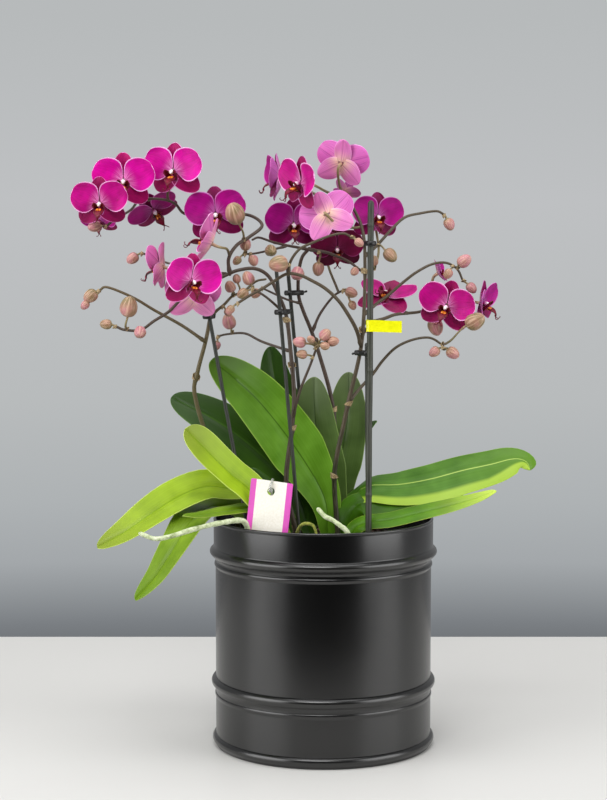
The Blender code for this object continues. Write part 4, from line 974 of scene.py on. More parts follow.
def tepal_points(direction, length, half, height, bend, lag, cup, breadth, seed, broad):
    """The grid of one sepal or petal: narrow at its foot, rounded, and bent along its length."""
    chance = random.Random(seed)
    tilt, sway, skew = chance.uniform(-1, 1), chance.uniform(-1, 1), chance.uniform(-1, 1)
    turn = Matrix.Rotation(math.radians(direction - 90 + 4 * skew), 3, "Z")
    rows, columns = 17, 15
    grid = []
    for row in range(rows):
        share = 0.5 - 0.5 * math.cos(math.pi * (0.08 + 0.92 * row / (rows - 1)))
        if broad:
            width = half * breadth * max(0.02, math.sin(math.pi * min(1.0, 0.045 + 0.955 * share))
                                         ** (0.80 - 0.40 * share) * (0.62 + 0.75 * share - 0.37 * share ** 2))
        else:
            width = half * max(0.02, math.sin(math.pi * min(1.0, 0.13 + 0.87 * share)) ** 0.46)
        line = []
        for column in range(columns):
            side = 2 * column / (columns - 1) - 1
            across = width * side
            reach = length * (share - lag * (across / half) ** 2 * (1 - share) * 0.62)
            rise = height - bend * share ** 2 + cup * 0.012 * share ** 1.5 + tilt * 0.0018 * share
            rise += (0.0022 + 0.0050 * cup) * (across / half) ** 2 * (1 if broad else 0.5)
            rise += 0.0007 * math.sin(7 * share + 3 * side + 5 * sway) * abs(side)
            line.append(turn @ Vector((across, 0.0016 + reach, rise)))
        grid.append(line)
    return grid


def tepal_thick(side, share):
    """Fleshy at the foot and the middle, thin at the rim."""
    return 0.0004 + 0.0007 * (1 - share) * (1 - side ** 2)


def petal_face(name, bright, dark, base, rim, rays):
    """Upper skin of a petal: velvet cells, fanned veins 1 mm apart, pale rays at the foot, a rim."""
    made, tree, shader = finish_for(name, Roughness=0.5, Specular_IOR_Level=0.2, Sheen_Weight=0.05,
                                    Sheen_Roughness=0.45, Subsurface_Weight=0.05, Subsurface_Scale=0.002)
    shader.inputs["Sheen Tint"].default_value = linear("#F58CE0")
    chart = add(tree, "TexCoord", {}, {})
    split = add(tree, "SeparateXYZ", {}, {0: chart.outputs["UV"]})
    fan = add(tree, "Mapping", {}, {"Vector": chart.outputs["UV"], "Scale": (32.0, 2.2, 1.0)})
    veins = add(tree, "TexNoise", {}, {"Vector": fan.outputs[0], "Scale": 1.0, "Detail": 3.0})
    clouds = add(tree, "TexNoise", {}, {"Vector": chart.outputs["Object"], "Scale": 70.0, "Detail": 2.0})
    blend = add(tree, "Math", {"operation": "MULTIPLY_ADD"}, {0: veins.outputs["Fac"], 1: 0.55,
                                                              2: clouds.outputs["Fac"]})
    tone = add(tree, "MapRange", {}, {"Value": blend.outputs[0], "From Min": 0.55, "From Max": 1.0})
    flesh = add(tree, "Mix", {"data_type": "RGBA"}, {0: tone.outputs[0], 6: linear(dark), 7: linear(bright)})
    near = add(tree, "MapRange", {"interpolation_type": "SMOOTHSTEP"},
               {"Value": split.outputs[1], "From Min": 0.40, "From Max": 0.05})
    streak = add(tree, "MapRange", {}, {"Value": veins.outputs["Fac"], "From Min": 0.38, "From Max": 0.60,
                                        "To Min": 0.1, "To Max": rays})
    ray = add(tree, "Math", {"operation": "MULTIPLY"}, {0: near.outputs[0], 1: streak.outputs[0]})
    rayed = add(tree, "Mix", {"data_type": "RGBA"}, {0: ray.outputs[0], 6: flesh.outputs[2], 7: linear(base)})
    side = add(tree, "Math", {"operation": "SUBTRACT"}, {0: split.outputs[0], 1: 0.5})
    away = add(tree, "Math", {"operation": "ABSOLUTE"}, {0: side.outputs[0]})
    edge = add(tree, "MapRange", {"interpolation_type": "SMOOTHSTEP"},
               {"Value": away.outputs[0], "From Min": 0.460, "From Max": 0.486})
    tip = add(tree, "MapRange", {"interpolation_type": "SMOOTHSTEP"},
              {"Value": split.outputs[1], "From Min": 0.915, "From Max": 0.955})
    border = add(tree, "Math", {"operation": "MAXIMUM"}, {0: edge.outputs[0], 1: tip.outputs[0]})
    faint = add(tree, "Math", {"operation": "MULTIPLY"}, {0: border.outputs[0], 1: 0.95})
    rimmed = add(tree, "Mix", {"data_type": "RGBA"},
                 {0: faint.outputs[0], 6: rayed.outputs[2], 7: linear(rim)})
    tree.links.new(rimmed.outputs[2], shader.inputs["Base Color"])
    relief = add(tree, "Bump", {}, {"Height": veins.outputs["Fac"], "Strength": 0.25, "Distance": 0.0005})
    tree.links.new(relief.outputs["Normal"], shader.inputs["Normal"])
    return made


def petal_back(name, skin, vein, base, rim):
    """Lower skin of a petal: pale and satin, with a darker midrib and fanned darker veins."""
    made, tree, shader = finish_for(name, Roughness=0.48, Subsurface_Weight=0.08, Subsurface_Scale=0.002)
    chart = add(tree, "TexCoord", {}, {})
    split = add(tree, "SeparateXYZ", {}, {0: chart.outputs["UV"]})
    fan = add(tree, "Mapping", {}, {"Vector": chart.outputs["UV"], "Scale": (22.0, 1.2, 1.0)})
    veins = add(tree, "TexNoise", {}, {"Vector": fan.outputs[0], "Scale": 1.0, "Detail": 2.0})
    line = add(tree, "MapRange", {"interpolation_type": "SMOOTHSTEP"},
               {"Value": veins.outputs["Fac"], "From Min": 0.52, "From Max": 0.66, "To Max": 0.6})
    side = add(tree, "Math", {"operation": "SUBTRACT"}, {0: split.outputs[0], 1: 0.5})
    away = add(tree, "Math", {"operation": "ABSOLUTE"}, {0: side.outputs[0]})
    middle = add(tree, "MapRange", {"interpolation_type": "SMOOTHSTEP"},
                 {"Value": away.outputs[0], "From Min": 0.03, "From Max": 0.008, "To Max": 0.75})
    veined = add(tree, "Math", {"operation": "MAXIMUM"}, {0: line.outputs[0], 1: middle.outputs[0]})
    near = add(tree, "MapRange", {"interpolation_type": "SMOOTHSTEP"},
               {"Value": split.outputs[1], "From Min": 0.55, "From Max": 0.0})
    ground = add(tree, "Mix", {"data_type": "RGBA"}, {0: near.outputs[0], 6: linear(skin), 7: linear(base)})
    lined = add(tree, "Mix", {"data_type": "RGBA"},
                {0: veined.outputs[0], 6: ground.outputs[2], 7: linear(vein)})
    edge = add(tree, "MapRange", {"interpolation_type": "SMOOTHSTEP"},
               {"Value": away.outputs[0], "From Min": 0.46, "From Max": 0.488, "To Max": 0.8})
    rimmed = add(tree, "Mix", {"data_type": "RGBA"},
                 {0: edge.outputs[0], 6: lined.outputs[2], 7: linear(rim)})
    tree.links.new(rimmed.outputs[2], shader.inputs["Base Color"])
    relief = add(tree, "Bump", {}, {"Height": veins.outputs["Fac"], "Strength": 0.25, "Distance": 0.0005})
    tree.links.new(relief.outputs["Normal"], shader.inputs["Normal"])
    return made


# lit and shaded copies of one skin: they differ partly in the flowers' own magenta and partly by painted
# shade, deep and shaded being darkened for flowers that hang in shade or under others
petal_finishes = {
    "bright": [petal_face("bright_magenta_petal_face", "#DA009E", "#B0007A", "#F0A8DC", "#F8B4EC", 0.8),
               petal_back("pink_petal_back", "#D060B4", "#A4348C", "#E0A0B0", "#F2A8E4")],
    "full": [petal_face("full_magenta_petal_face", "#C40086", "#9A0064", "#E89CD0", "#F4ACE0", 0.8),
             petal_back("rose_petal_back", "#D068AC", "#A03C84", "#E0A4B0", "#F0A4DC")],
    "deep": [petal_face("painted_half_shade_petal_face", "#AC0082", "#860066", "#CC88C8", "#D27CC4", 0.55),
             petal_back("painted_half_shade_petal_back", "#B44CA0", "#8A2878", "#C884A8", "#D68CCC")],
    "shaded": [petal_face("painted_deep_shade_petal_face", "#74003E", "#520028", "#984070", "#963470", 0.4),
               petal_back("painted_deep_shade_petal_back", "#94387C", "#6E205A", "#B87890", "#B060A0")],
}
# the sepal skins come in the same lit and shaded copies, the two darker ones painted shade
sepal_finishes = {
    "bright": [petal_face("magenta_sepal_face", "#AE0064", "#86004A", "#C868A8", "#E88CD0", 0.4),
               petal_back("striped_sepal_back", "#D272B4", "#A84C88", "#E6BCA8", "#EC9CDC")],
    "full": [petal_face("dark_magenta_sepal_face", "#960054", "#6E003C", "#B85C98", "#D078B8", 0.35),
             petal_back("rose_sepal_back", "#D47CB0", "#A44C84", "#E6B8AC", "#EC9CD8")],
    "deep": [petal_face("painted_half_shade_sepal_face", "#860052", "#62003A", "#A85494", "#B05CA0", 0.3),
             petal_back("painted_half_shade_sepal_back", "#B4609C", "#8A3A72", "#D4A898", "#D088C0")],
    "shaded": [petal_face("painted_deep_shade_sepal_face", "#5C0030", "#420020", "#7C3058", "#802A5C", 0.3),
               petal_back("painted_deep_shade_sepal_back", "#8A3C70", "#662050", "#A87080", "#A05890")],
}

for index, flower in enumerate(FLOWERS, 1):
    spike, middle, azimuth, elevation, roll, size, depth, cup, breadth, passing = flower
    name = f"flower_{index:02d}"
    aim = math.radians(azimuth)
    lift = math.radians(elevation)
    look = Vector((math.sin(aim) * math.cos(lift), -math.cos(aim) * math.cos(lift), math.sin(lift)))
    right = Vector((math.cos(aim), math.sin(aim), 0.0))
    up = look.cross(right)
    lean = math.radians(roll)
    across = right * math.cos(lean) - up * math.sin(lean)
    upward = look.cross(across)
    turn = Matrix((across, upward, look)).transposed().to_4x4()
    matrix = Matrix.Translation(middle) @ turn @ Matrix.Scale(size, 4)
    for kind, parts, looks in (("sepals", SEPALS, sepal_finishes), ("petals", PETALS, petal_finishes)):
        cage = bmesh.new()
        for count, measures in enumerate(parts.values()):
            shell(cage, tepal_points(*measures, cup, breadth, index * 10 + count,
                                      kind == "petals"), tepal_thick)
        place(f"{name}_{kind}", mesh_of(f"{name}_{kind}", cage), looks[depth], "petal_magenta",
              [name] if kind == "petals" else [], matrix)
    back = Vector(middle) - look * 0.0015
    stops = [Vector(point) for point in passing]
    start, way = nearest_stem(routes[spike], stops[0] if stops else Vector(middle) - look * 0.011)
    if stops:
        line = smooth_route([start] + stops + [Vector(middle) - look * 0.011, back], 5)
    else:
        out = (back - start).normalized()
        line = curved(start, (out + way * 0.7 + Vector((0, 0, 0.2))).normalized(), back, look, 12)
    shares = [step / (len(line) - 1) for step in range(len(line))]
    radii = [FLOWER_STALK * (1.15 - 0.25 * share + 0.55 * share ** 4) for share in shares]
    sweep(stalks[spike], line, radii, 10, shares)

for name, cage in stalks.items():
    place(name + "_stalks", mesh_of(name + "_stalks", cage), [stalk_skin, sheath_paper], "spike_stem")


# ---- Lips and columns --------------------------------------------------------------------------
# In each flower's middle: a fleshy crimson lip with two upright side lobes, an arrow-shaped middle
# lobe with two curled tendrils, an orange callus, and the waxy column with its white cap.
LIP_SCALE = 1.2             # the lip and callus below are drawn for a flower 20% smaller

# Crimson lip flesh: glossy and wet looking, with darker stripes 0.8 mm apart.
lip_flesh, tree, shader = finish_for("crimson_lip_flesh", Roughness=0.4, Specular_IOR_Level=0.3)
chart = add(tree, "TexCoord", {}, {})
fan = add(tree, "Mapping", {}, {"Vector": chart.outputs["UV"], "Scale": (12.0, 1.5, 1.0)})
stripes = add(tree, "TexNoise", {}, {"Vector": fan.outputs[0], "Scale": 1.0, "Detail": 2.0})
tones = add(tree, "ValToRGB", {"stops": [(0.35, "#3E000C"), (0.55, "#6A0020"), (0.72, "#9A0C44")]},
            {"Fac": stripes.outputs["Fac"]})
tree.links.new(tones.outputs["Color"], shader.inputs["Base Color"])

# Callus: warty orange flesh, yellow on its tips.
callus_flesh, tree, shader = finish_for("orange_callus_flesh", Roughness=0.35)
where = add(tree, "TexCoord", {}, {}).outputs["Object"]
warts = add(tree, "TexNoise", {}, {"Vector": where, "Scale": 900.0, "Detail": 2.0})
tones = add(tree, "ValToRGB", {"stops": [(0.4, "#C84A00"), (0.6, "#F8A23A")]}, {"Fac": warts.outputs["Fac"]})
tree.links.new(tones.outputs["Color"], shader.inputs["Base Color"])

# Column wax: magenta at the back, white with a pink flush on the cap.
column_wax, tree, shader = finish_for("white_pink_column_wax", Roughness=0.35, Subsurface_Weight=0.1,
                                      Subsurface_Scale=0.001)
chart = add(tree, "TexCoord", {}, {})
split = add(tree, "SeparateXYZ", {}, {0: chart.outputs["UV"]})
tones = add(tree, "ValToRGB", {"stops": [(0.0, "#8C0058"), (0.42, "#B8408C"), (0.6, "#F6DCEA"),
                                         (1.0, "#FFF4F6")]},
            {"Fac": split.outputs[1]})
tree.links.new(tones.outputs["Color"], shader.inputs["Base Color"])

cage = bmesh.new()
for side in (-1, 1):
    # side lobes: two upright ears that curl towards the column
    grid = []
    for row in range(9):
        share = row / 8
        line = []
        for column in range(9):
            wide = 2 * column / 8 - 1
            half = 0.0052 * max(0.05, math.sin(math.pi * (0.12 + 0.88 * share)) ** 0.6)
            line.append(Vector((side * (0.0016 + 0.0066 * share - 0.0030 * share ** 2 - 0.0012 * wide ** 2),
                                -0.0042 + 0.0034 * share + half * wide * 0.80 * side,
                                0.0024 + half * wide * side * 0.6 + 0.0066 * share)))
        grid.append(line)
    shell(cage, grid, lambda wide, share: 0.0006, 0, 0)
grid = []
for row in range(15):
    # middle lobe: a narrow claw that widens to an arrow head and points forward and down
    share = row / 14
    half = 0.0024 + 0.0024 * math.exp(-((share - 0.45) / 0.26) ** 2) - 0.0018 * share
    line = []
    for column in range(9):
        wide = 2 * column / 8 - 1
        line.append(Vector((half * wide, -0.0040 - 0.0078 * share ** 1.4 + 0.0012 * wide ** 2,
                            0.0030 + 0.0110 * math.sin(share * 1.9) - 0.0010 * wide ** 2)))
    grid.append(line)
shell(cage, grid, lambda wide, share: 0.0009 - 0.0003 * share, 0, 0)
for side in (-1, 1):
    # tendrils at the tip
    line = smooth_route([(side * 0.0006, -0.0116, 0.0134), (side * 0.0016, -0.0132, 0.0140),
                         (side * 0.0026, -0.0134, 0.0156), (side * 0.0028, -0.0122, 0.0168),
                         (side * 0.0022, -0.0116, 0.0162)], 4)
    sweep(cage, line, [0.00045 - 0.00025 * step / (len(line) - 1) for step in range(len(line))], 6)
lip_mesh = mesh_of("lip", cage)
lip_mesh.transform(Matrix.Scale(LIP_SCALE, 4))

cage = bmesh.new()
for side in (-1, 1):
    line = smooth_route([(side * 0.0007, -0.0044, 0.0046), (side * 0.0010, -0.0046, 0.0068),
                         (side * 0.0014, -0.0044, 0.0088)], 3)
    sweep(cage, line, [0.0011, 0.0013, 0.0014, 0.0014, 0.0012, 0.0010, 0.0007], 8)
callus_mesh = mesh_of("callus", cage)
callus_mesh.transform(Matrix.Scale(LIP_SCALE, 4))

cage = bmesh.new()
line = smooth_route([(0.0, -0.0006, 0.0006), (0.0, 0.0002, 0.0032), (0.0, -0.0002, 0.0058),
                     (0.0, -0.0012, 0.0078)], 4)
widths = [0.0017, 0.0017, 0.0016, 0.0016, 0.0016, 0.0017, 0.0018, 0.0020, 0.0022, 0.0023, 0.0022, 0.0019,
          0.0012]
sweep(cage, line, widths, 14, [step / (len(line) - 1) for step in range(len(line))])
column_mesh = mesh_of("column", cage)

for index in range(1, len(FLOWERS) + 1):
    name = f"flower_{index:02d}"
    matrix = bpy.data.objects[name + "_petals"].matrix_world.copy()
    place(name + "_lip", lip_mesh, [lip_flesh], "petal_magenta", matrix=matrix)
    place(name + "_callus", callus_mesh, [callus_flesh], "petal_magenta", matrix=matrix)
    place(name + "_column", column_mesh, [column_wax], "petal_magenta", matrix=matrix)


# ---- Canes -------------------------------------------------------------------------------------
# Four split canes dyed dark green and one thicker bamboo cane, pushed into the bark to hold the
# spikes up. Each is cut square, and the bamboo has a raised ring at its node.
CANE_RADIUS = 0.0017
BAMBOO_RADIUS = 0.0028
CANE_FOOT = 0.1904
# Radius, foot, top, and distances from the top at which there is a node.
CANES = {
    "stake_left": (CANE_RADIUS, (-0.066, -0.037, CANE_FOOT), (-0.105, -0.029, 0.407), ()),
    "stake_centre_front": (CANE_RADIUS, (-0.021, -0.040, CANE_FOOT), (-0.043, -0.029, 0.442), ()),
    "stake_centre_back": (CANE_RADIUS, (-0.010, 0.024, CANE_FOOT), (-0.033, 0.007, 0.442), ()),
    "stake_right_bamboo": (BAMBOO_RADIUS, (0.040, -0.052, CANE_FOOT), (0.042, -0.037, 0.501),
                           (0.020, 0.150, 0.262)),
    "stake_right_thin": (CANE_RADIUS, (0.040, -0.0455, CANE_FOOT), (0.0385, -0.0340, 0.374), ()),
}


def cane_finish(name, dark, light):
    """Dyed cane: satin, with fibres 0.5 mm apart that run its whole length, and paler scuffs."""
    made, tree, shader = finish_for(name, Roughness=0.5)
    chart = add(tree, "TexCoord", {}, {})
    long_way = add(tree, "Mapping", {}, {"Vector": chart.outputs["UV"], "Scale": (18.0, 40.0, 1.0)})
    fibres = add(tree, "TexNoise", {}, {"Vector": long_way.outputs[0], "Scale": 1.0, "Detail": 4.0})
    tone = add(tree, "MapRange", {}, {"Value": fibres.outputs["Fac"], "From Min": 0.35, "From Max": 0.68})
    skin = add(tree, "Mix", {"data_type": "RGBA"}, {0: tone.outputs[0], 6: linear(dark), 7: linear(light)})
    tree.links.new(skin.outputs[2], shader.inputs["Base Color"])
    relief = add(tree, "Bump", {}, {"Height": fibres.outputs["Fac"], "Strength": 0.35, "Distance": 0.0004})
    tree.links.new(relief.outputs["Normal"], shader.inputs["Normal"])
    return made


dyed_cane = cane_finish("dark_dyed_cane", "#12160F", "#2B2E26")
dyed_bamboo = cane_finish("grey_green_dyed_bamboo", "#22261B", "#3E4036")

for name, (radius, foot, top, nodes) in CANES.items():
    foot, top = Vector(foot), Vector(top)
    span = (top - foot).length
    rings = {span - node + shift for node in nodes for shift in (-0.002, -0.001, 0.0, 0.001, 0.002)}
    distances = sorted({span * step / 60 for step in range(61)} | rings)
    line, radii = [], []
    for distance in distances:
        point = foot.lerp(top, distance / span)
        sway = Vector((noise.noise(point * 14.0), noise.noise(point * 14.0 + Vector((7, 0, 0))), 0.0))
        line.append(point + sway * 0.0004 * math.sin(math.pi * distance / span))
        ring = max([0.0] + [math.exp(-((span - distance - node) / 0.0011) ** 2) for node in nodes])
        radii.append(radius * (1.0 + 0.03 * noise.noise(point * 60.0) + 0.16 * ring))
    cage = bmesh.new()
    sweep(cage, line, radii, 16)
    place(name + "_cane", mesh_of(name + "_cane", cage), [dyed_bamboo if nodes else dyed_cane], "dyed_bamboo",
          [name])


# ---- Clips -------------------------------------------------------------------------------------
# Black moulded spring clips. Each has a flat band that loops round the cane and the stem, pinched
# between them, and two short finger tabs. The points are the axes of the two rods that it holds.
CLIPS = {
    "clip_left": ((-0.1047, -0.0289, 0.399), (-0.1033, -0.0210, 0.399)),
    "clip_centre_front": ((-0.0397, -0.0306, 0.403), (-0.0355, -0.0205, 0.403)),
    "clip_centre_back": ((-0.0310, 0.0078, 0.419), (-0.0230, 0.0140, 0.419)),
    "clip_right_top": ((0.0417, -0.0386, 0.465), (0.0362, -0.0292, 0.465)),
    "clip_right_low": ((0.0386, -0.0345, 0.366), (0.0328, -0.0266, 0.366)),
}
LOOP_REACH = 0.0043
LOOP_WIRE = 0.0011          # half the band's thickness
LOOP_TALL = 2.1             # the band's height as part of its thickness

# Moulded polypropylene: near black, with a fine spark-eroded grain and a low sheen.
clip_plastic, tree, shader = finish_for("black_moulded_polypropylene", Roughness=0.38, IOR=1.49)
where = add(tree, "TexCoord", {}, {}).outputs["Object"]
grain = add(tree, "TexNoise", {}, {"Vector": where, "Scale": 1500.0, "Detail": 2.0})
tone = add(tree, "ValToRGB", {"stops": [(0.3, "#0B0B0B"), (0.7, "#1A1A1A")]}, {"Fac": grain.outputs["Fac"]})
tree.links.new(tone.outputs["Color"], shader.inputs["Base Color"])
bump = add(tree, "Bump", {}, {"Height": grain.outputs["Fac"], "Strength": 0.2, "Distance": 0.0003})
tree.links.new(bump.outputs["Normal"], shader.inputs["Normal"])

for name, (first, second) in CLIPS.items():
    first, second = Vector(first), Vector(second)
    along = (second - first).normalized()
    side = along.cross(Vector((0, 0, 1))).normalized()
    middle = (first + second) / 2
    reach = (second - first).length / 2
    line = []
    for step in range(41):
        turn = 2 * math.pi * step / 40
        pinch = 1.0 - 0.35 * math.exp(-(math.cos(turn) / 0.3) ** 2)
        shift = reach if math.cos(turn) > 0 else -reach
        if abs(math.cos(turn)) < 1e-6:
            shift = 0.0
        line.append(middle + along * (shift + LOOP_REACH * math.cos(turn))
                    + side * LOOP_REACH * pinch * math.sin(turn))
    cage = bmesh.new()
    sweep(cage, line, [LOOP_WIRE] * len(line), 10)
    for vert in cage.verts:
        vert.co.z = middle.z + (vert.co.z - middle.z) * LOOP_TALL
    for lean in (-1, 1):
        start = middle + along * (reach + LOOP_REACH) + side * lean * 0.0006
        end = start + along * 0.0026 + side * lean * 0.0024 + Vector((0, 0, 0.0012 * lean))
        sweep(cage, [start, start.lerp(end, 0.5), end], [0.0009, 0.0008, 0.0011], 8)
    place(name + "_loop", mesh_of(name + "_loop", cage), [clip_plastic], "black_plastic", [name])


# ---- Plant tag ---------------------------------------------------------------------------------
# A coated card 40 by 50 mm with a punched slot, held in the bark by a clear peg that hooks through
# the slot. It is left blank, with plain pink bands down its sides.
TAG_SIZE = (0.040, 0.0008, 0.050)
TAG_PLACE = (-0.0490, -0.0655, 0.2290)
TAG_TURN = (math.radians(-4), math.radians(5), math.radians(-20))
TAG_CORNER = 0.0015
SLOT = (0.0, 0.0155, 0.0036)   # across, up and radius of the punched hole

outline = []
for across, up, start in ((1, 1, 0), (-1, 1, 90), (-1, -1, 180), (1, -1, 270)):
    for step in range(6):
        turn = math.radians(start + 18 * step)
        outline.append((across * (TAG_SIZE[0] / 2 - TAG_CORNER) + TAG_CORNER * math.cos(turn),
                        up * (TAG_SIZE[2] / 2 - TAG_CORNER) + TAG_CORNER * math.sin(turn)))
hole = [(SLOT[0] + SLOT[2] * math.cos(2 * math.pi * step / 20),
         SLOT[1] + SLOT[2] * math.sin(2 * math.pi * step / 20))
        for step in range(20)]
sheet = bpy.data.curves.new("tag_outline", "CURVE")
sheet.dimensions = "2D"
sheet.fill_mode = "BOTH"
sheet.extrude = TAG_SIZE[1] / 2
for loop in (outline, hole):
    spline = sheet.splines.new("POLY")
    spline.points.add(len(loop) - 1)
    spline.use_cyclic_u = True
    for point, (across, up) in zip(spline.points, loop):
        point.co = (across, up, 0.0, 1.0)
guide = bpy.data.objects.new("tag_outline", sheet)
bpy.context.scene.collection.objects.link(guide)
tag_mesh = bpy.data.meshes.new_from_object(guide.evaluated_get(bpy.context.evaluated_depsgraph_get()))
bpy.data.objects.remove(guide, do_unlink=True)
tag_mesh.transform(Matrix.Rotation(math.radians(90), 4, "X"))

# Coated card: cream white with a faint fibre mottle, and two flat printed bands 6 mm wide.
tag_card, tree, shader = finish_for("coated_tag_card", Roughness=0.35)
where = add(tree, "TexCoord", {}, {}).outputs["Object"]
split = add(tree, "SeparateXYZ", {}, {0: where})
away = add(tree, "Math", {"operation": "ABSOLUTE"}, {0: split.outputs[0]})
band = add(tree, "MapRange", {}, {"Value": away.outputs[0], "From Min": 0.01435, "From Max": 0.01465})
fibre = add(tree, "TexNoise", {}, {"Vector": where, "Scale": 600.0, "Detail": 3.0})
paper = add(tree, "ValToRGB", {"stops": [(0.3, "#E9E4D6"), (0.7, "#F4F0E6")]}, {"Fac": fibre.outputs["Fac"]})
printed = add(tree, "Mix", {"data_type": "RGBA"}, {0: band.outputs[0], 6: paper.outputs["Color"],
                                                   7: linear("#D648B4")})
tree.links.new(printed.outputs[2], shader.inputs["Base Color"])
bump = add(tree, "Bump", {}, {"Height": fibre.outputs["Fac"], "Strength": 0.08, "Distance": 0.0003})
tree.links.new(bump.outputs["Normal"], shader.inputs["Normal"])
tag_matrix = Matrix.Translation(TAG_PLACE) @ Euler(TAG_TURN).to_matrix().to_4x4()
tag_mesh.materials.clear()
place("tag_card", tag_mesh, [tag_card], "tag_card", ["plant_tag"], tag_matrix)

# Clear moulded polystyrene: glassy, slightly frosted where it was cut from its sprue.
peg_plastic, tree, shader = finish_for("clear_polystyrene_peg", Roughness=0.18, IOR=1.59,
                                       Transmission_Weight=0.7)
where = add(tree, "TexCoord", {}, {}).outputs["Object"]
frost = add(tree, "TexNoise", {}, {"Vector": where, "Scale": 700.0, "Detail": 2.0})
tone = add(tree, "ValToRGB", {"stops": [(0.3, "#C9CCC8"), (0.7, "#E6E8E4")]}, {"Fac": frost.outputs["Fac"]})
tree.links.new(tone.outputs["Color"], shader.inputs["Base Color"])
cage = bmesh.new()
line = smooth_route([(0.0, 0.0030, -0.0340), (0.0, 0.0024, -0.0100), (0.0, 0.0022, 0.0120),
                     (0.0, 0.0016, 0.0160), (0.0, -0.0012, 0.0168), (0.0, -0.0030, 0.0178),
                     (0.0, -0.0026, 0.0215), (0.0, 0.0, 0.0262), (0.0, 0.0022, 0.0258)], 6)
sweep(cage, line, [0.0009 + 0.0006 * math.exp(-((step - 34) / 4) ** 2) for step in range(len(line))], 10)
sweep(cage, [Vector((0.0, -0.0009, 0.0166)), Vector((0.0, -0.0014, 0.0166)), Vector((0.0, -0.0022, 0.0167))],
      [0.0022, 0.0024, 0.0019], 16)
place("tag_peg", mesh_of("tag_peg", cage), [peg_plastic], "tag_card", matrix=tag_matrix)


# ---- Cane label --------------------------------------------------------------------------------
# A yellow printed film, folded round the bamboo and stuck to itself as a flag. It is left blank.
LABEL_HEIGHT = 0.0105
LABEL_END = 0.0697                 # the flag's free end
LABEL_PLACE = (-0.0463, 0.391)     # depth and height of its middle
LABEL_FILM = 0.00022
LABEL_WRAP = 0.0033                # radius of the film round the bamboo
cane_x, cane_y = 0.0412, -0.0431   # the bamboo's axis at that height

path = []
for step in range(9):
    path.append((LABEL_END - (LABEL_END - cane_x - 0.003) * step / 8,
                 LABEL_PLACE[0] - 0.0003 + 0.0004 * math.sin(step * 0.9)))
for step in range(1, 12):
    turn = math.radians(-75 - 195 * step / 12)
    path.append((cane_x + LABEL_WRAP * math.cos(turn), cane_y + LABEL_WRAP * math.sin(turn)))
for step in range(9):
    share = step / 8
    path.append((cane_x + 0.003 + (LABEL_END - cane_x - 0.003) * share,
                 cane_y + 0.0020 + (LABEL_PLACE[0] + 0.0004 - cane_y - 0.0020) * min(1.0, share * 2.5)
                 + 0.0004 * math.sin(share * 7.2) * (1 - share)))
grid = []
for x, y in path:
    grid.append([Vector((x, y, LABEL_PLACE[1] + LABEL_HEIGHT * (level / 4 - 0.5) - 0.03 * (x - 0.055)))
                 for level in range(5)])
cage = bmesh.new()
shell(cage, grid, lambda side, share: LABEL_FILM, 0, 0)

# Polypropylene film: clear bright yellow with a soft gloss and faint creases 5 mm apart.
label_film, tree, shader = finish_for("yellow_polypropylene_film", Roughness=0.32, Coat_Weight=0.15)
where = add(tree, "TexCoord", {}, {}).outputs["Object"]
crease = add(tree, "TexNoise", {}, {"Vector": where, "Scale": 200.0, "Detail": 2.0})
tone = add(tree, "ValToRGB", {"stops": [(0.3, "#DCDC00"), (0.7, "#EEEE10")]}, {"Fac": crease.outputs["Fac"]})
tree.links.new(tone.outputs["Color"], shader.inputs["Base Color"])
bump = add(tree, "Bump", {}, {"Height": crease.outputs["Fac"], "Strength": 0.2, "Distance": 0.0005})
tree.links.new(bump.outputs["Normal"], shader.inputs["Normal"])
place("label_flag", mesh_of("label_flag", cage), [label_film], "yellow_film", ["stake_label"])


# ---- Floor, light and camera -------------------------------------------------------------------
# A plain white table top in a grey room, soft boxes to the left, right and above, and the camera
# at the height and distance from which the group is seen.
TABLE = (0.9, -0.42, 0.471)      # half its width, its front edge and its back edge
CAMERA_PLACE = (-0.0184, -1.8371, 0.4851)
CAMERA_PITCH = math.radians(84.884)

cage = bmesh.new()
corners = [cage.verts.new((x, y, 0.0)) for x, y in ((-TABLE[0], TABLE[1]), (TABLE[0], TABLE[1]),
                                                    (TABLE[0], TABLE[2]), (-TABLE[0], TABLE[2]))]
cage.faces.new(corners)
floor_mesh = bpy.data.meshes.new("table_top")
cage.to_mesh(floor_mesh)
cage.free()
floor_look, tree, shader = finish_for("white_table_lacquer", Roughness=0.45)
shader.inputs["Base Color"].default_value = linear("#D2D1CE")
floor_mesh.materials.append(floor_look)
floor = bpy.data.objects.new("table_top", floor_mesh)
bpy.context.scene.collection.objects.link(floor)

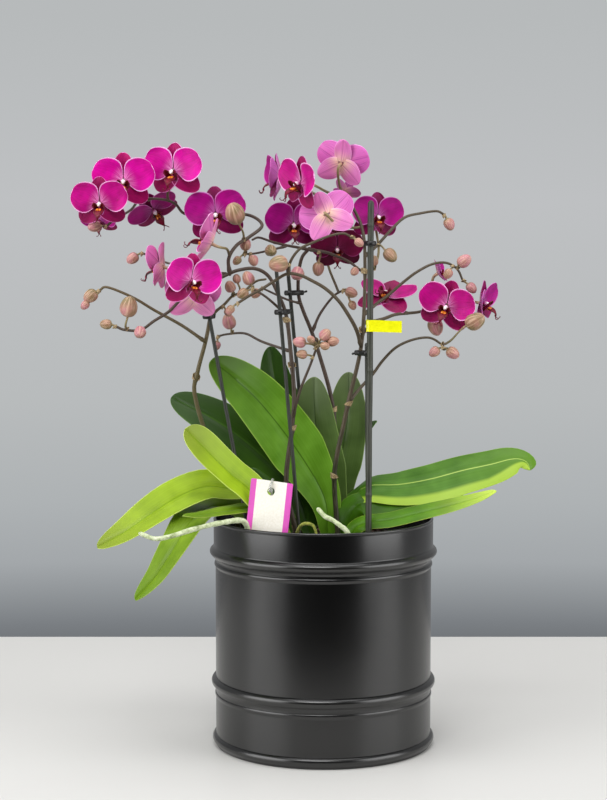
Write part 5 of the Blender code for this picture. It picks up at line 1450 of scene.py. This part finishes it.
world = bpy.data.worlds.new("grey_room")
bpy.context.scene.world = world
world.use_nodes = True
tree = world.node_tree
background = tree.nodes["Background"]
way = add(tree, "TexCoord", {}, {})
split = add(tree, "SeparateXYZ", {}, {0: way.outputs["Generated"]})
height = add(tree, "MapRange", {}, {"Value": split.outputs[2], "From Min": -0.21, "From Max": 0.10})
seen = add(tree, "ValToRGB", {"stops": [(0.0, "#6C7073"), (0.04, "#7B7F83"), (0.135, "#A3A7AA"),
                                        (0.23, "#AEB2B4"), (0.39, "#B8BBBC"), (0.71, "#BEC0C2"),
                                        (1.0, "#B7BABB")]}, {"Fac": height.outputs[0]})
depth = add(tree, "MapRange", {"interpolation_type": "SMOOTHSTEP"},
            {"Value": split.outputs[1], "From Min": -0.95, "From Max": -0.35})
room = add(tree, "Mix", {"data_type": "RGBA"},
           {0: depth.outputs[0], 6: linear("#0C0C0C"), 7: linear("#A2A3A4")})
rays = add(tree, "LightPath", {}, {})
colour = add(tree, "Mix", {"data_type": "RGBA"}, {0: rays.outputs["Is Camera Ray"], 6: room.outputs[2],
                                                  7: seen.outputs["Color"]})
tree.links.new(colour.outputs[2], background.inputs["Color"])

for name, spot, size, power in (("soft_box_left", (-1.75, -0.95, 0.75), (1.7, 1.7), 34),
                                ("soft_box_right", (1.75, -0.90, 0.75), (1.7, 1.7), 29),
                                ("soft_box_front", (-0.3, -1.7, 1.9), (1.3, 0.8), 28),
                                ("soft_box_top", (0.0, 0.0, 1.9), (1.5, 1.5), 17)):
    lamp = bpy.data.lights.new(name, "AREA")
    lamp.shape = "RECTANGLE"
    lamp.size, lamp.size_y = size
    lamp.energy = power
    light = bpy.data.objects.new(name, lamp)
    light.location = spot
    light.rotation_mode = "QUATERNION"
    light.rotation_quaternion = (Vector((0.0, 0.0, 0.3)) - Vector(spot)).to_track_quat("-Z", "Y")
    bpy.context.scene.collection.objects.link(light)

lens = bpy.data.cameras.new("camera")
lens.lens = 90.0
lens.sensor_width = 36.0
camera = bpy.data.objects.new("camera", lens)
camera.location = CAMERA_PLACE
camera.rotation_euler = (CAMERA_PITCH, 0.0, 0.0)
bpy.context.scene.collection.objects.link(camera)
bpy.context.scene.camera = camera
bpy.context.scene.view_settings.view_transform = "Standard"
